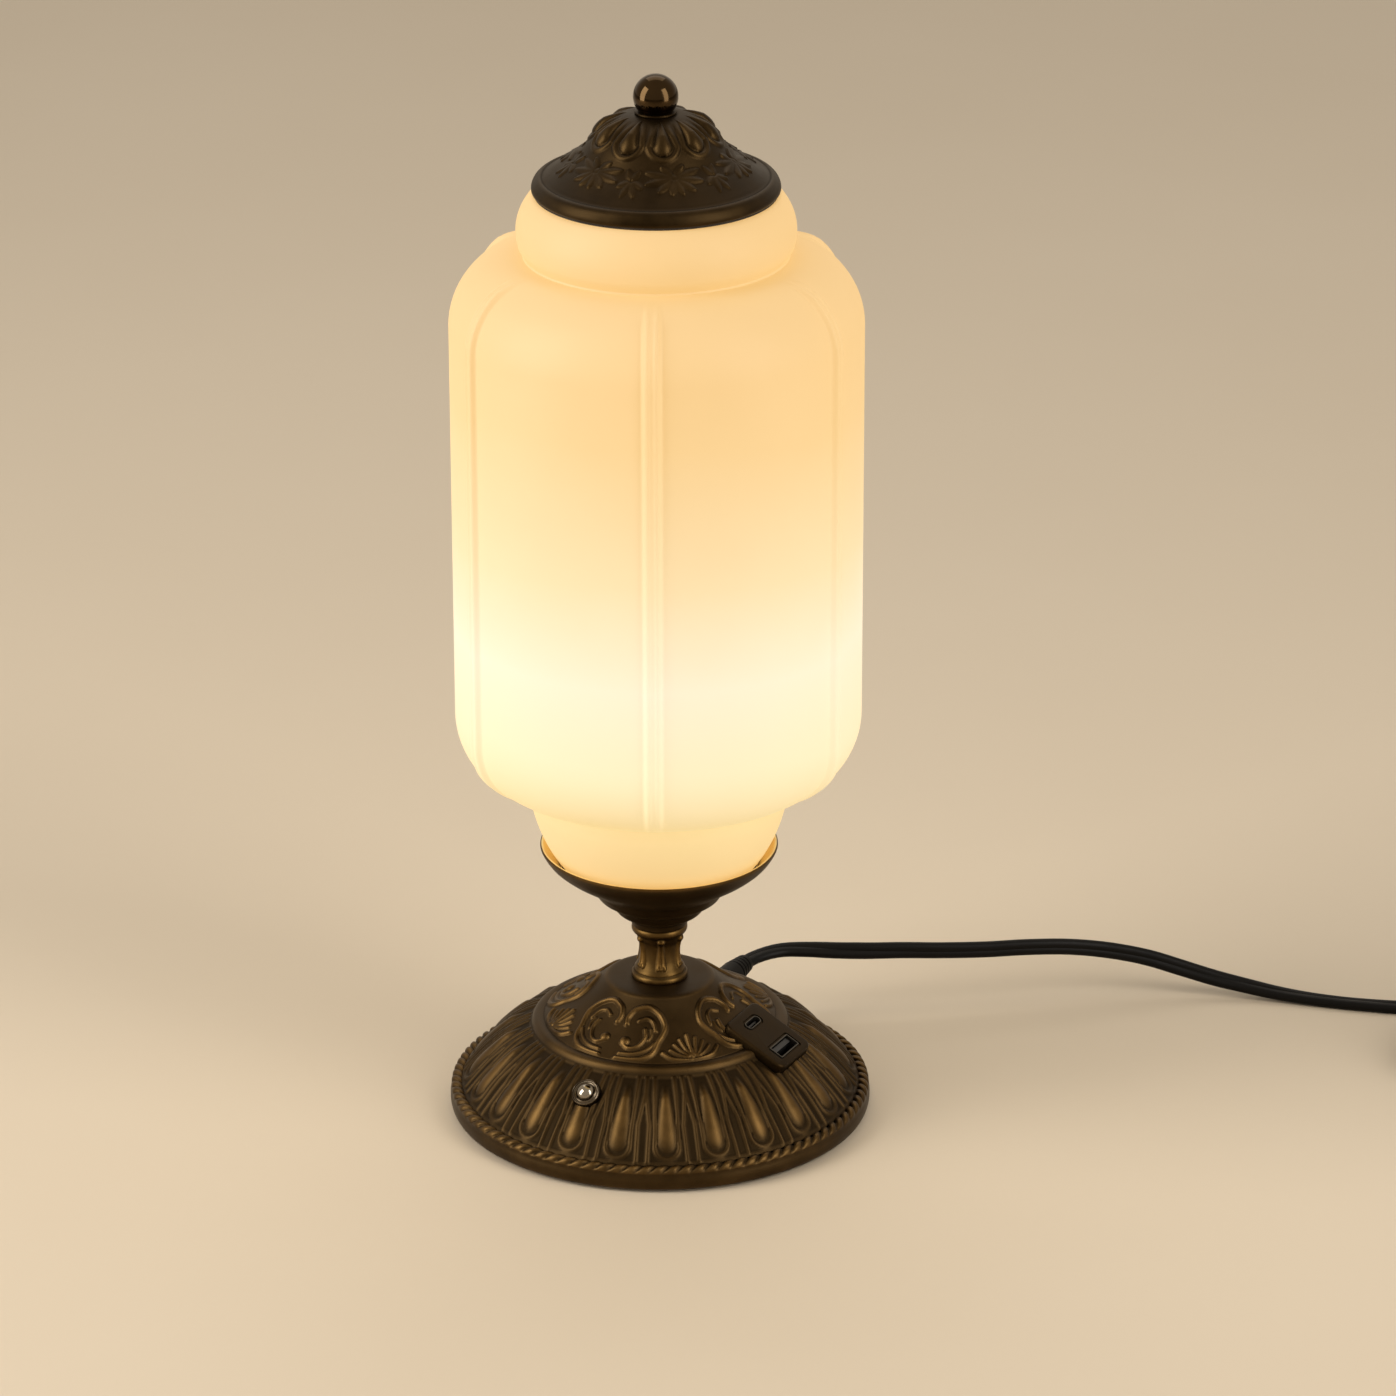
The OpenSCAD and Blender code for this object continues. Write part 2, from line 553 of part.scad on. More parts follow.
module bulb_globe() {
    color(opal) difference() {
        translate([0, 0, globe_z]) sphere(d = bulb_d);
        translate([0, 0, globe_z]) sphere(d = bulb_d - 2.4);
        translate([-30, -30, body_head - 60]) cube([60, 60, 60]);
    }
}

// Felt ring in the cup under the glass.
module cup_gasket() {
    color(black) ring(lip_r, harp_out + 0.5, cup_seat, shade_z0);
}

// Opal glass: collar in the cup, shoulder, straight barrel, shoulder and top collar.
shade_r = shade_d / 2;
neck_r = shade_r - shoulder_r;
function glass_line(t) = concat(
    bez([lip_r - t, shade_z0], [42.5 - t, shade_z0 + 10], [45.2 - t, shade_z0 + 24], 6),
    [[44.9 - t, shade_z0 + low_collar_h - 5]],
    arc_pts(neck_r, low_shoulder, shoulder_r - t, -90, 0, 10),
    arc_pts(neck_r, top_shoulder, shoulder_r - t, 0, 90, 10),
    [[45.4 - t, top_shoulder + shoulder_r + 1.2]],
    bez([47 - t, shade_z1 - 18], [49.8 - t, shade_z1 - 8], [42.2 - t, shade_z1], 6));
function rib_line(d) = concat(
    arc_pts(neck_r, low_shoulder, shoulder_r + d, -80, 0, 7),
    arc_pts(neck_r, top_shoulder, shoulder_r + d, 0, 80, 7));
module rib_fin(width, rise) {
    translate([0, width / 2, 0]) rotate([90, 0, 0]) linear_extrude(height = width)
        polygon(concat(rib_line(rise), flip(rib_line(-1.6))));
}
module shade_ribs() {
    for (k = [0:ribs - 1]) rotate([0, 0, -63.5 + 360 / ribs * k]) {
        rib_fin(rib_w, rib_rise * 0.6);
        rib_fin(rib_w * 0.56, rib_rise);
    }
}
module shade() {
    color(opal) difference() {
        union() {
            rotate_extrude() polygon(concat([[20, shade_z0]], glass_line(0), [[20, shade_z1]]));
            shade_ribs();
        }
        rotate_extrude() polygon(concat([[0, shade_z0 - 1], [lip_r - glass_t, shade_z0 - 1]],
            glass_line(glass_t), [[42.2 - glass_t, shade_z1 + 1], [0, shade_z1 + 1]]));
    }
}

// Felt ring between glass and cap.
module cap_gasket() {
    color(black) ring(41.4, 38.6, shade_z1, cap_z0);
}

// Cap: rolled brim, flared field and a crown of drops, hollow, with a lip inside the glass.
cap_r = cap_d / 2;
cap_rings = concat(
    [[cap_r - 0.5, cap_z0, 60, 0, 0], [cap_r, cap_z0 + 1.3, 60, 0, 0],
     [cap_r - 0.6, cap_z0 + 3.4, 60, 0, 0], [cap_r - 2.2, cap_z0 + 4.8, 60, 0, 0],
     [cap_r - 3.4, cap_z0 + 4.9, 60, 0, 0], [cap_r - 5.6, cap_z0 + 6.2, 60, 0, 0],
     [cap_r - 9.6, cap_z0 + 8.8, 60, 0, 0], [27.8, cap_z0 + 12.2, 60, 0, 0]],
    [for (g = [[25.2, 13, 0], [23.6, 10.9, 0.16], [21.8, 8.5, 0.34], [19.2, 5.7, 0.54],
        [16.2, 3.4, 0.72], [13, 1.5, 0.9]])
        [g[0] - 0.4 * (1 - g[2]), cap_top - g[1], lobes * 12, 3, g[2]]],
    [[10.4, cap_top - 0.4, lobes * 12, 0, 0], [9, cap_top, lobes * 12, 0, 0]]);
module top_cap() {
    color(bronze) difference() {
        union() {
            turned_skin(cap_rings);
            translate([0, 0, cap_z0 - 4]) cylinder(r = 37.8, h = 8);
        }
        rotate_extrude() polygon([
            [0, cap_z0 - 5], [37.8 - cap_wall, cap_z0 - 5], [37.8 - cap_wall, cap_z0 + 2.4],
            [cap_r - 10.4, cap_z0 + 5.4], [26.2, cap_z0 + 8.8], [22.6, cap_top - 14.6],
            [20.8, cap_top - 11.6], [18.2, cap_top - 8], [15, cap_top - 5.4],
            [11, cap_top - 3.2], [8, cap_top - 2.4], [0, cap_top - 2.4]]);
        translate([0, 0, cap_top - 6]) cylinder(r = 3.4, h = 12);
    }
}

// Washer and ball that screw down on the stud.
module finial_washer() {
    color(brass) ring(7.2, 3.3, cap_top, finial_z);
}
ball_r = ball_d / 2;
ball_seat_r = 6;
ball_z = finial_z + sqrt(ball_r ^ 2 - ball_seat_r ^ 2);
module finial_ball() {
    color(bronze) difference() {
        translate([0, 0, ball_z]) sphere(r = ball_r);
        translate([-20, -20, finial_z - 40]) cube([40, 40, 40]);
        translate([0, 0, finial_z - 1]) cylinder(r = 3.2, h = 9);
    }
}

// Push button: a body with its ring, a domed cap that slides in it and a nut inside.
cap_play = 0.12;
module button_body() {
    color(steel) on_button() difference() {
        union() {
            translate([0, 0, -0.9]) cylinder(d = bezel_d, h = 1.6);
            translate([0, 0, 0.7]) cylinder(d1 = bezel_d, d2 = bezel_d - 1.6, h = 0.8);
            translate([0, 0, -15]) cylinder(r = 4, h = 15);
        }
        translate([0, 0, -8]) cylinder(r = button_d / 2 + cap_play, h = 20);
    }
}
module button_cap() {
    color(steel) on_button() {
        translate([0, 0, -5.8]) cylinder(d = button_d, h = 8.2);
        translate([0, 0, 2.4]) cylinder(d1 = button_d, d2 = button_d - 1.6, h = 0.6);
        translate([0, 0, 3]) cylinder(d1 = button_d - 1.6, d2 = button_d - 4, h = 0.4);
    }
}
module button_nut() {
    color(steel) on_button() translate([0, 0, -shell_wall - 5]) hex_nut(11, 8.2, 2.4);
}

// Port housing: a raised box through the base with a window for each port.
port_a = [13.1, 5.7];
port_c = [9, 3.3];
usb_deep = 13;
module usb_housing() {
    color(bronze) on_usb() difference() {
        slab(usb_w, usb_len, 3, -usb_deep, 0);
        slab(usb_w - 4, usb_len - 4, 1.4, -usb_deep - 1, -2);
        translate([0, -port_step, 0]) slab(port_a[0] + 0.2, port_a[1] + 0.2, 0.5, -4, 2);
        translate([0, port_step, 0]) slab(port_c[0] + 0.2, port_c[1] + 0.2, 1.7, -4, 2);
    }
}

// Port shells of folded sheet and the tongues inside them.
module usb_a_shell() {
    color(steel) on_usb() translate([0, -port_step, 0]) difference() {
        slab(port_a[0], port_a[1], 0.4, -10.5, 0.1);
        slab(port_a[0] - 0.8, port_a[1] - 0.8, 0.2, -9, 2);
    }
}
module usb_a_tongue() {
    color([0.9, 0.9, 0.88]) on_usb() translate([0, -port_step, 0])
        translate([-5.5, 0.2, -9]) cube([11, 1.9, 8.2]);
}
module usb_c_shell() {
    color(steel) on_usb() translate([0, port_step, 0]) difference() {
        slab(port_c[0], port_c[1], 1.6, -10.5, 0.1);
        slab(port_c[0] - 0.7, port_c[1] - 0.7, 1.25, -9, 2);
    }
}
module usb_c_tongue() {
    color(black) on_usb() translate([0, port_step, 0]) translate([-3.3, -0.35, -9]) cube([6.6, 0.7, 7.6]);
}
module usb_board() {
    color([0.10, 0.32, 0.16]) on_usb() slab(usb_w - 4.6, usb_len - 4.6, 1, -12.1, -10.5);
}

// Closed power module that stands on the plate.
module driver_module() {
    color(black) translate([25 - base_r, -18, plate_top]) cube([35, 36, 15]);
}

// Lead inside: from the bush round to the foot of the pipe and up to the lamp holder.
lead_r = 2.4;
lead_path = [[0, gland_in, gland_z, 0], [0, gland_in - 6, gland_z, 0],
    [0, gland_in - 14, gland_z - 1, 0], [0, gland_in - 22, gland_z - 3, 0],
    [0, gland_in - 30, gland_z - 5, 0], [0, gland_in - 36, gland_z - 5.4, 0],
    [0, gland_in - 41, gland_z - 4, 0],
    [0, 2, gland_z - 0.5, 0], [0, 0.5, gland_z + 4, 0], [0, 0, pipe_z0, 0], [0, 0, pipe_z1 - 10, 0],
    [0, 0, pipe_z1, 0]];
function lead_ring(i) = let (d = path_dir(lead_path, i), p = lead_path[i])
    [for (q = round_section(lead_r, 8))
        [p[0], p[1], p[2]] + q[0] * [1, 0, 0] + q[1] * cross(d, [1, 0, 0])];
module lamp_lead() {
    n = 8;
    last = len(lead_path) - 1;
    color(black) polyhedron([for (i = [0:last]) each lead_ring(i)], concat(
        [for (i = [0:last - 1]) for (k = [0:n - 1])
            each [[i * n + k, (i + 1) * n + (k + 1) % n, i * n + (k + 1) % n],
                  [i * n + k, (i + 1) * n + k, (i + 1) * n + (k + 1) % n]]],
        [for (k = [1:n - 2]) [0, k, k + 1]],
        [for (k = [1:n - 2]) [last * n, last * n + k + 1, last * n + k]]));
}

// Bush at the back through which the lead leaves the base, with a tapered sleeve.
gland_taper = 9.5;
module cord_gland() {
    color(black) translate([0, gland_y, gland_z]) rotate([90, 0, 0]) {
        cylinder(r1 = 3.4, r2 = 4.5, h = gland_taper);
        translate([0, 0, gland_taper]) cylinder(r = 4.5, h = gland_len - gland_taper);
    }
}

// The lead itself, its coil with the tail, the tie round the coil, and the plug.
module cord() {
    color(black) swept(cord_route, cord_section);
}
module cord_coil() {
    color(black) swept(coil_path, coil_section);
}
tie_in = coil_r - coil_pitch * coil_turns - 3.2;
tie_out = coil_r + 2.2;
module coil_tie() {
    color([0.12, 0.12, 0.12]) translate([coil_c[0], coil_c[1], 0]) rotate([0, 0, 65])
        translate([0, 2.5, 0]) rotate([90, 0, 0]) linear_extrude(height = 5) difference() {
            translate([tie_in - 0.8, 0]) square([tie_out - tie_in + 1.6, 15.4]);
            translate([tie_in, 0.7]) square([tie_out - tie_in, 13.9]);
        }
}
plug_turn = atan2(tail_dir[1], tail_dir[0]);
module on_plug() {
    translate([plug_at[0], plug_at[1], plug_axis]) rotate([0, 0, plug_turn]) children();
}
module plug_body() {
    color(black) on_plug() {
        translate([0, 0, -5.2]) linear_extrude(height = 10.4) polygon([[0, -4.4], [9, -5.4], [17, -12.2],
            [20, -13], [35.5, -13], [35.5, 13], [20, 13], [17, 12.2], [9, 5.4], [0, 4.4]]);
        translate([0, 0, -6.85]) linear_extrude(height = 13.7) polygon([[19, -11], [34.6, -11.8],
            [34.6, 11.8], [19, 11]]);
    }
}
module plug_pin(y) {
    color(steel) on_plug() translate([35.5, y, 0]) rotate([0, 90, 0]) cylinder(r = 2, h = 19);
}
module plug_pin_a() {
    plug_pin(9.3);
}
module plug_pin_b() {
    plug_pin(-9.3);
}

base_shell();
base_plate();
foam_pad();
plate_screws();
base_washer();
base_nut();
threaded_pipe();
stem();
cup();
cup_nut();
harp_saddle();
harp();
harp_stud();
lampholder_body();
lampholder_shell();
lampholder_contact();
bulb_contact();
bulb_cap();
bulb_body();
bulb_globe();
cup_gasket();
shade();
cap_gasket();
top_cap();
finial_washer();
finial_ball();
button_body();
button_cap();
button_nut();
usb_housing();
usb_a_shell();
usb_a_tongue();
usb_c_shell();
usb_c_tongue();
usb_board();
driver_module();
lamp_lead();
cord_gland();
cord();
cord_coil();
coil_tie();
plug_body();
plug_pin_a();
plug_pin_b();
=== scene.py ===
"""Table lamp: a fluted bronze base, a lit opal glass, a bronze cap and a flat black lead."""
import math

import bmesh
import bpy
import numpy as np
from mathutils import Euler, Matrix, Vector


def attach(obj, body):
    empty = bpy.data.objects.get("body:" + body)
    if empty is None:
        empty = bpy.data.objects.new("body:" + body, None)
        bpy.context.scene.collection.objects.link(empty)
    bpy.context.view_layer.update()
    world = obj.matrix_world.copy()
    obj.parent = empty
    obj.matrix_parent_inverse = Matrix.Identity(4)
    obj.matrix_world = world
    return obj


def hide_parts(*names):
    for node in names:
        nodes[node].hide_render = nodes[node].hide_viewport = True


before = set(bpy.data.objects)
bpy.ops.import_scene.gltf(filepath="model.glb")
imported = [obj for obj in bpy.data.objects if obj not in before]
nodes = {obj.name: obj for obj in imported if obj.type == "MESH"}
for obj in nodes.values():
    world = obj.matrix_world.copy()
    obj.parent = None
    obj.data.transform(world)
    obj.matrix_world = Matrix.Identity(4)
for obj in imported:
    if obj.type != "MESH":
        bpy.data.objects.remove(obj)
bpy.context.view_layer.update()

# Skirt of the base: a heavy zinc casting with tongues in raised frames and thin reeds between
# them. It is plated, browned all over and rubbed back to gold where a cloth reaches.
MM = 0.001
FRONT = -90
TONGUES = 24
TONGUE_RISE, LINE_RISE, GROOVE = 1.3, 0.7, 0.6
SKIRT_COLUMNS = 864
SMALL_COLUMNS, FINE_COLUMNS = 48, 96
WELD, BATCH = 0.004 * MM, 20000
CAST_EDGE = 60


def bow(a, b, c, count, start=0.0, end=1.0):
    """Points on a curve from a to c that leans towards b."""
    t = np.linspace(start, end, count)[:, None]
    a, b, c = (np.array(p, float) for p in (a, b, c))
    return ((1 - t) ** 2 * a + 2 * t * (1 - t) * b + t * t * c).tolist()


def round_arc(cx, cz, r, start, end, count):
    """Points on an arc, from one angle to another in degrees."""
    turn = np.radians(np.linspace(start, end, count))
    return np.column_stack([cx + r * np.cos(turn), cz + r * np.sin(turn)]).tolist()


def lengths(line):
    """How far along a line each of its points is."""
    return np.r_[0, np.cumsum(np.linalg.norm(np.diff(np.array(line, float), axis=0), axis=1))]


def select_only(piece):
    bpy.ops.object.select_all(action="DESELECT")
    piece.select_set(True)
    bpy.context.view_layer.objects.active = piece


def choose_edges(piece, wanted):
    """In edit mode, select the edges for which wanted(first point, second point) holds."""
    bpy.ops.mesh.select_mode(type="EDGE")
    bpy.ops.mesh.select_all(action="DESELECT")
    shape = bmesh.from_edit_mesh(piece.data)
    for edge in shape.edges:
        edge.select_set(wanted(edge.verts[0].co / MM, edge.verts[1].co / MM))
    bmesh.update_edit_mesh(piece.data)


def ring_of(name, spots, fill_type):
    """A closed ring of points in millimetres, as a new piece in edit mode."""
    bpy.ops.object.select_all(action="DESELECT")
    bpy.ops.mesh.primitive_circle_add(vertices=len(spots), radius=MM, fill_type=fill_type)
    piece = bpy.context.object
    piece.name = name
    piece.data.name = name
    for corner, spot in zip(piece.data.vertices, spots):
        corner.co = [c * MM for c in spot]
    bpy.ops.object.mode_set(mode="EDIT")
    return piece


def lathe(name, section, steps):
    """Turn a half section round the upright axis; it has radii and heights in millimetres."""
    closed = math.dist(section[0], section[-1]) < 1e-6
    outline = section[:-1] if closed else section
    piece = ring_of(name, [(r, 0, z) for r, z in outline], "NOTHING")
    choose_edges(piece, lambda a, b: abs(a.x) + abs(b.x) < 1e-6)
    bpy.ops.mesh.delete(type="EDGE")
    bpy.ops.object.mode_set(mode="OBJECT")
    turn = piece.modifiers.new("turn", "SCREW")
    turn.steps = steps
    turn.render_steps = steps
    turn.use_merge_vertices = True
    turn.merge_threshold = WELD
    bpy.ops.object.modifier_apply(modifier=turn.name)
    bpy.ops.object.mode_set(mode="EDIT")
    bpy.ops.mesh.select_mode(type="VERT")
    bpy.ops.mesh.select_all(action="SELECT")
    bpy.ops.mesh.remove_doubles(threshold=WELD)
    bpy.ops.mesh.select_all(action="SELECT")
    bpy.ops.mesh.normals_make_consistent(inside=False)
    bpy.ops.object.mode_set(mode="OBJECT")
    return piece


def corners(piece):
    """A piece's points in millimetres, with their radii and their azimuths in degrees."""
    spots = np.empty(len(piece.data.vertices) * 3, np.float32)
    piece.data.vertices.foreach_get("co", spots)
    spots = spots.reshape(-1, 3).astype(float) / MM
    azimuth = np.degrees(np.arctan2(spots[:, 1], spots[:, 0]))
    return spots, np.hypot(spots[:, 0], spots[:, 1]), azimuth


def put_corners(piece, spots):
    piece.data.vertices.foreach_set("co", (spots * MM).astype(np.float32).ravel())
    piece.data.update()


def nearest_place(line, radius, height):
    """Which point of a section is nearest to each point of a piece."""
    line = np.array(line, float)
    place = np.empty(len(radius), int)
    for start in range(0, len(radius), BATCH):
        part = slice(start, start + BATCH)
        away = (radius[part, None] - line[:, 0]) ** 2 + (height[part, None] - line[:, 1]) ** 2
        place[part] = away.argmin(1)
    return place


def outward(line):
    """The outward direction at each point of a section that runs from top to bottom."""
    line = np.array(line, float)
    run = np.gradient(line, axis=0)
    out = np.column_stack([-run[:, 1], run[:, 0]])
    return out / np.linalg.norm(out, axis=1).clip(1e-9)[:, None]


def emboss(piece, section, first, end, relief):
    """Push the skin between two points of the section out by relief(place, azimuth) in mm."""
    spots, radius, azimuth = corners(piece)
    place = nearest_place(section, radius, spots[:, 2])
    part = (place >= first) & (place < end)
    push = relief(place[part] - first, azimuth[part])
    out = outward(section[:end])[place[part]]
    around = np.radians(azimuth[part])
    spots[part, 0] += push * out[:, 0] * np.cos(around)
    spots[part, 1] += push * out[:, 0] * np.sin(around)
    spots[part, 2] += push * out[:, 1]
    put_corners(piece, spots)


def mark_wear(piece, skin_line):
    """Write how far each point stands out of the plain section, and how sharply that turns."""
    spots, radius, azimuth = corners(piece)
    line = np.array(skin_line, float)
    place = nearest_place(line, radius, spots[:, 2])
    out = outward(line)
    proud = (radius - line[place, 0]) * out[place, 0]
    proud += (spots[:, 2] - line[place, 1]) * out[place, 1]
    run = np.gradient(line, axis=0)
    heading = np.unwrap(np.arctan2(run[:, 1], run[:, 0]))
    turn = -np.gradient(heading) / np.linalg.norm(run, axis=1).clip(1e-6)
    proud += np.clip(0.7 * turn, -0.45, 0.45)[place]
    off_the_skin = np.abs(proud) > 2.4
    proud[off_the_skin] = -0.4
    wear = piece.data.attributes.new("relief", "FLOAT", "POINT")
    wear.data.foreach_set("value", proud.astype(np.float32))


def cut(piece, tool, operation="DIFFERENCE"):
    """Cut a tool's shape out of a piece, or melt it in, and throw the tool away."""
    select_only(piece)
    step = piece.modifiers.new("cut", "BOOLEAN")
    step.operation = operation
    step.solver = "MANIFOLD"
    step.object = tool
    bpy.ops.object.modifier_apply(modifier=step.name)
    bpy.data.objects.remove(tool)


def rounded_block(name, width, length, corner, low, high, edge=0.0):
    """A block with rounded upright corners and, if asked, softened edges at top and bottom."""
    bpy.ops.object.select_all(action="DESELECT")
    bpy.ops.mesh.primitive_cube_add(size=1, location=(0, 0, (low + high) / 2 * MM),
                                    scale=(width * MM, length * MM, (high - low) * MM))
    bpy.ops.object.transform_apply(location=True, rotation=True, scale=True)
    piece = bpy.context.object
    piece.name = name
    bpy.ops.object.mode_set(mode="EDIT")
    choose_edges(piece, lambda a, b: abs(a.z - b.z) > 0.01)
    bpy.ops.mesh.bevel(offset=corner * MM, segments=7, affect="EDGES")
    if edge:
        choose_edges(piece, lambda a, b: abs(a.z - b.z) < 0.01)
        bpy.ops.mesh.bevel(offset=edge * MM, segments=4, affect="EDGES")
    bpy.ops.object.mode_set(mode="OBJECT")
    return piece


def shift(x, y, z):
    """A move in millimetres."""
    return Matrix.Translation((x * MM, y * MM, z * MM))


def tip(degrees, axis):
    return Matrix.Rotation(math.radians(degrees), 4, axis)


def on_slope(turn, radius, height, tilt):
    """A place on the base: a turn about the lamp's axis and a tilt with the slope, in degrees."""
    return tip(turn, "Z") @ shift(0, -radius, height) @ tip(tilt, "X")


def move_to(piece, place):
    piece.data.transform(place)
    piece.data.update()
    return piece


BUTTON_PLACE = on_slope(0, 55.051, 26.166, 38.32)
PORT_PLACE = on_slope(90, 43.5, 35.4, 27.5)
LEAD_EXIT = shift(0, 66.5, 26.5)


def port_window():
    return move_to(rounded_block("window", 23.5, 26.5, 3.25, -16, 12), PORT_PLACE)


skirt_ledge = [(41.4, 33.95), (41.9, 34.02), (42.7, 34.1), (43.6, 34.02), (44.5, 33.7),
               (45.15, 33.1), (45.55, 32.35), (45.7, 31.8)]
skirt_slope = bow((44.5, 32.0), (55.5, 29.0), (71.0, 9.5), 66, 0.062, 0.99)
skirt_hollow = [(71.1, 8.9), (69.6, 8.2), (67.9, 7.9)]
skirt_hollow += bow((67.6, 7.9), (53.7, 25.7), (42.9, 28.2), 8) + [(41.4, 29.4), (41.4, 33.95)]
skirt_skin = skirt_ledge + skirt_slope
skirt_section = skirt_skin + skirt_hollow
SLOPE_START = 1.45
slope_down = SLOPE_START + lengths(skirt_slope)
slope_radius = np.array(skirt_slope)[:, 0]


def ridge(gap, half, height):
    """A rounded ridge of a half width and height, at a distance from its middle line."""
    return height * np.clip(1 - (gap / half) ** 2, 0, None)


def ramp_up(value, start, length):
    """From 0 at a start to 1 a length later."""
    return np.clip((value - start) / length, 0, 1)


def ramp_down(value, end, length):
    """From 1 a length before an end to 0 there."""
    return np.clip((end - value) / length, 0, 1)


def rounded_end(value, start, length, least=0.0):
    """1 up to a start, then round like a quarter circle over a length."""
    return np.sqrt(np.clip(1 - (np.clip(value - start, 0, None) / length) ** 2, least, 1))


def off_middle(azimuth, first, count):
    """How far round from the nearest of a count of places, as a share of their spacing."""
    turn = (azimuth - first) * count / 360
    return turn - np.round(turn)


def tongue_relief(place, azimuth):
    """Tongue, the frame round it and the split reed beside it, down the skirt in millimetres."""
    down, radius = slope_down[place], slope_radius[place]
    pitch = math.tau * radius / TONGUES
    across = np.abs(off_middle(azimuth, FRONT, TONGUES)) * pitch
    wide = 0.9 + 2.8 * ramp_up(down, 5.5, 18) ** 0.7
    wide = wide * rounded_end(down, 26.6, 4.9, 0.0004)
    tongue = TONGUE_RISE * np.clip(1 - (across / wide) ** 2, 0, None) ** 0.8
    tongue = tongue * ramp_up(down, 5.2, 6) * rounded_end(down, 24.0, 7.4)
    frame_at = 0.27 * pitch - 0.35 * ramp_up(down, 8, 15)
    foot = 33.5 - frame_at
    frame_gap = np.where(down < foot, across, np.hypot(across, down - foot)) - frame_at
    line_half = 1.2 - 0.2 * ramp_up(down, 6, 10)
    frame_line = ridge(frame_gap, line_half, LINE_RISE)
    split = 2.0 * ramp_up(down, 9, 12)
    reed = ridge(np.abs(0.5 * pitch - across) - split, line_half, LINE_RISE)
    height = np.maximum.reduce([tongue, frame_line, reed]) - GROOVE
    return height * ramp_up(down, 1.5, 1.2) * ramp_down(down, 35.2, 1.0)


base_skirt = lathe("base_skirt", skirt_section, SKIRT_COLUMNS)
emboss(base_skirt, skirt_section, len(skirt_ledge), len(skirt_skin), tongue_relief)
button_hole = [(0, 12), (5.4, 12), (5.4, -0.9), (4.2, -0.9), (4.2, -20), (0, -20)]
cut(base_skirt, move_to(lathe("hole", button_hole, SMALL_COLUMNS), BUTTON_PLACE))
cut(base_skirt, port_window())
lead_hole = [(0, 30), (4.7, 30), (4.7, -14), (0, -14)]
cut(base_skirt, move_to(lathe("hole", lead_hole, SMALL_COLUMNS), LEAD_EXIT @ tip(90, "X")))
mark_wear(base_skirt, skirt_skin)


def tint(red, green, blue):
    """A shade from 0 to 255, made linear for the shader."""
    return tuple(((c / 255 + 0.055) / 1.055) ** 2.4 if c > 10 else c / 3294.6
                 for c in (red, green, blue)) + (1.0,)


def fill(tree, node, sockets):
    """Fill a node's sockets with values or with other nodes' outputs."""
    for key, value in sockets.items():
        if isinstance(value, bpy.types.NodeSocket):
            tree.links.new(value, node.inputs[key])
        else:
            node.inputs[key].default_value = value


def put(tree, kind, sockets=None, **settings):
    """Add a node, set its options and fill its sockets."""
    new = tree.nodes.new(kind)
    for key, value in settings.items():
        setattr(new, key, value)
    fill(tree, new, sockets or {})
    return new


def noise(tree, scale, detail, rough, stretch=None):
    """Cloudy noise on the piece's own coordinates, from 0 to 1."""
    place = put(tree, "ShaderNodeTexCoord").outputs["Object"]
    if stretch:
        place = put(tree, "ShaderNodeMapping", {"Vector": place, "Scale": stretch}).outputs[0]
    return put(tree, "ShaderNodeTexNoise", {"Vector": place, "Scale": scale, "Detail": detail,
                                            "Roughness": rough}).outputs["Fac"]


def spread(tree, value, low, high, to_low=0.0, to_high=1.0):
    """Map a value from one range to another, held at its ends."""
    return put(tree, "ShaderNodeMapRange", {"Value": value, "From Min": low, "From Max": high,
                                            "To Min": to_low, "To Max": to_high}).outputs[0]


def blend(tree, share, first, second, kind="MIX"):
    """Two colours mixed by a share."""
    return put(tree, "ShaderNodeMix", {0: share, 6: first, 7: second}, data_type="RGBA",
               blend_type=kind).outputs[2]


def sum_of(tree, first, second, operation="ADD"):
    return put(tree, "ShaderNodeMath", {0: first, 1: second}, operation=operation).outputs[0]


def new_group(name, inputs):
    """A node group for a coat; gives its tree, its inputs and its output node."""
    tree = bpy.data.node_groups.new(name, "ShaderNodeTree")
    for label, value in inputs:
        kind = "NodeSocketColor" if isinstance(value, tuple) else "NodeSocketFloat"
        socket = tree.interface.new_socket(name=label, in_out="INPUT", socket_type=kind)
        socket.default_value = value
    for label in ("Colour", "Roughness", "Height"):
        kind = "NodeSocketColor" if label == "Colour" else "NodeSocketFloat"
        tree.interface.new_socket(name=label, in_out="OUTPUT", socket_type=kind)
    return tree, tree.nodes.new("NodeGroupInput").outputs, tree.nodes.new("NodeGroupOutput")


GREY = (0.5, 0.5, 0.5, 1.0)
patina, given, result = new_group("patina", [
    ("Relief", 0.0), ("Crest", GREY), ("Field", GREY), ("Recess", GREY), ("Blotch", 60.0),
    ("Gloss", 0.38)])
cloud = noise(patina, given["Blotch"], 5.0, 0.6)
speck = noise(patina, 1500.0, 2.0, 0.5)
rubbed = spread(patina, given["Relief"], 0.02, 0.72)
rubbed = sum_of(patina, rubbed, spread(patina, cloud, 0.3, 0.65, 0.45, 1.0), "MULTIPLY")
sunk = spread(patina, given["Relief"], -0.12, -0.7)
worn = blend(patina, rubbed, given["Field"], given["Crest"])
worn = blend(patina, sunk, worn, given["Recess"])
shade_of = spread(patina, cloud, 0.25, 0.75, 0.72, 1.18)
grey_shade = put(patina, "ShaderNodeCombineColor", {0: shade_of, 1: shade_of, 2: shade_of})
worn = blend(patina, 1.0, worn, grey_shade.outputs[0], "MULTIPLY")
dull = sum_of(patina, given["Gloss"], spread(patina, cloud, 0.3, 0.7, -0.05, 0.08))
dull = sum_of(patina, dull, sum_of(patina, sunk, 0.2, "MULTIPLY"))
dull = sum_of(patina, dull, sum_of(patina, rubbed, -0.08, "MULTIPLY"))
grain = sum_of(patina, cloud, sum_of(patina, speck, 0.5, "MULTIPLY"))
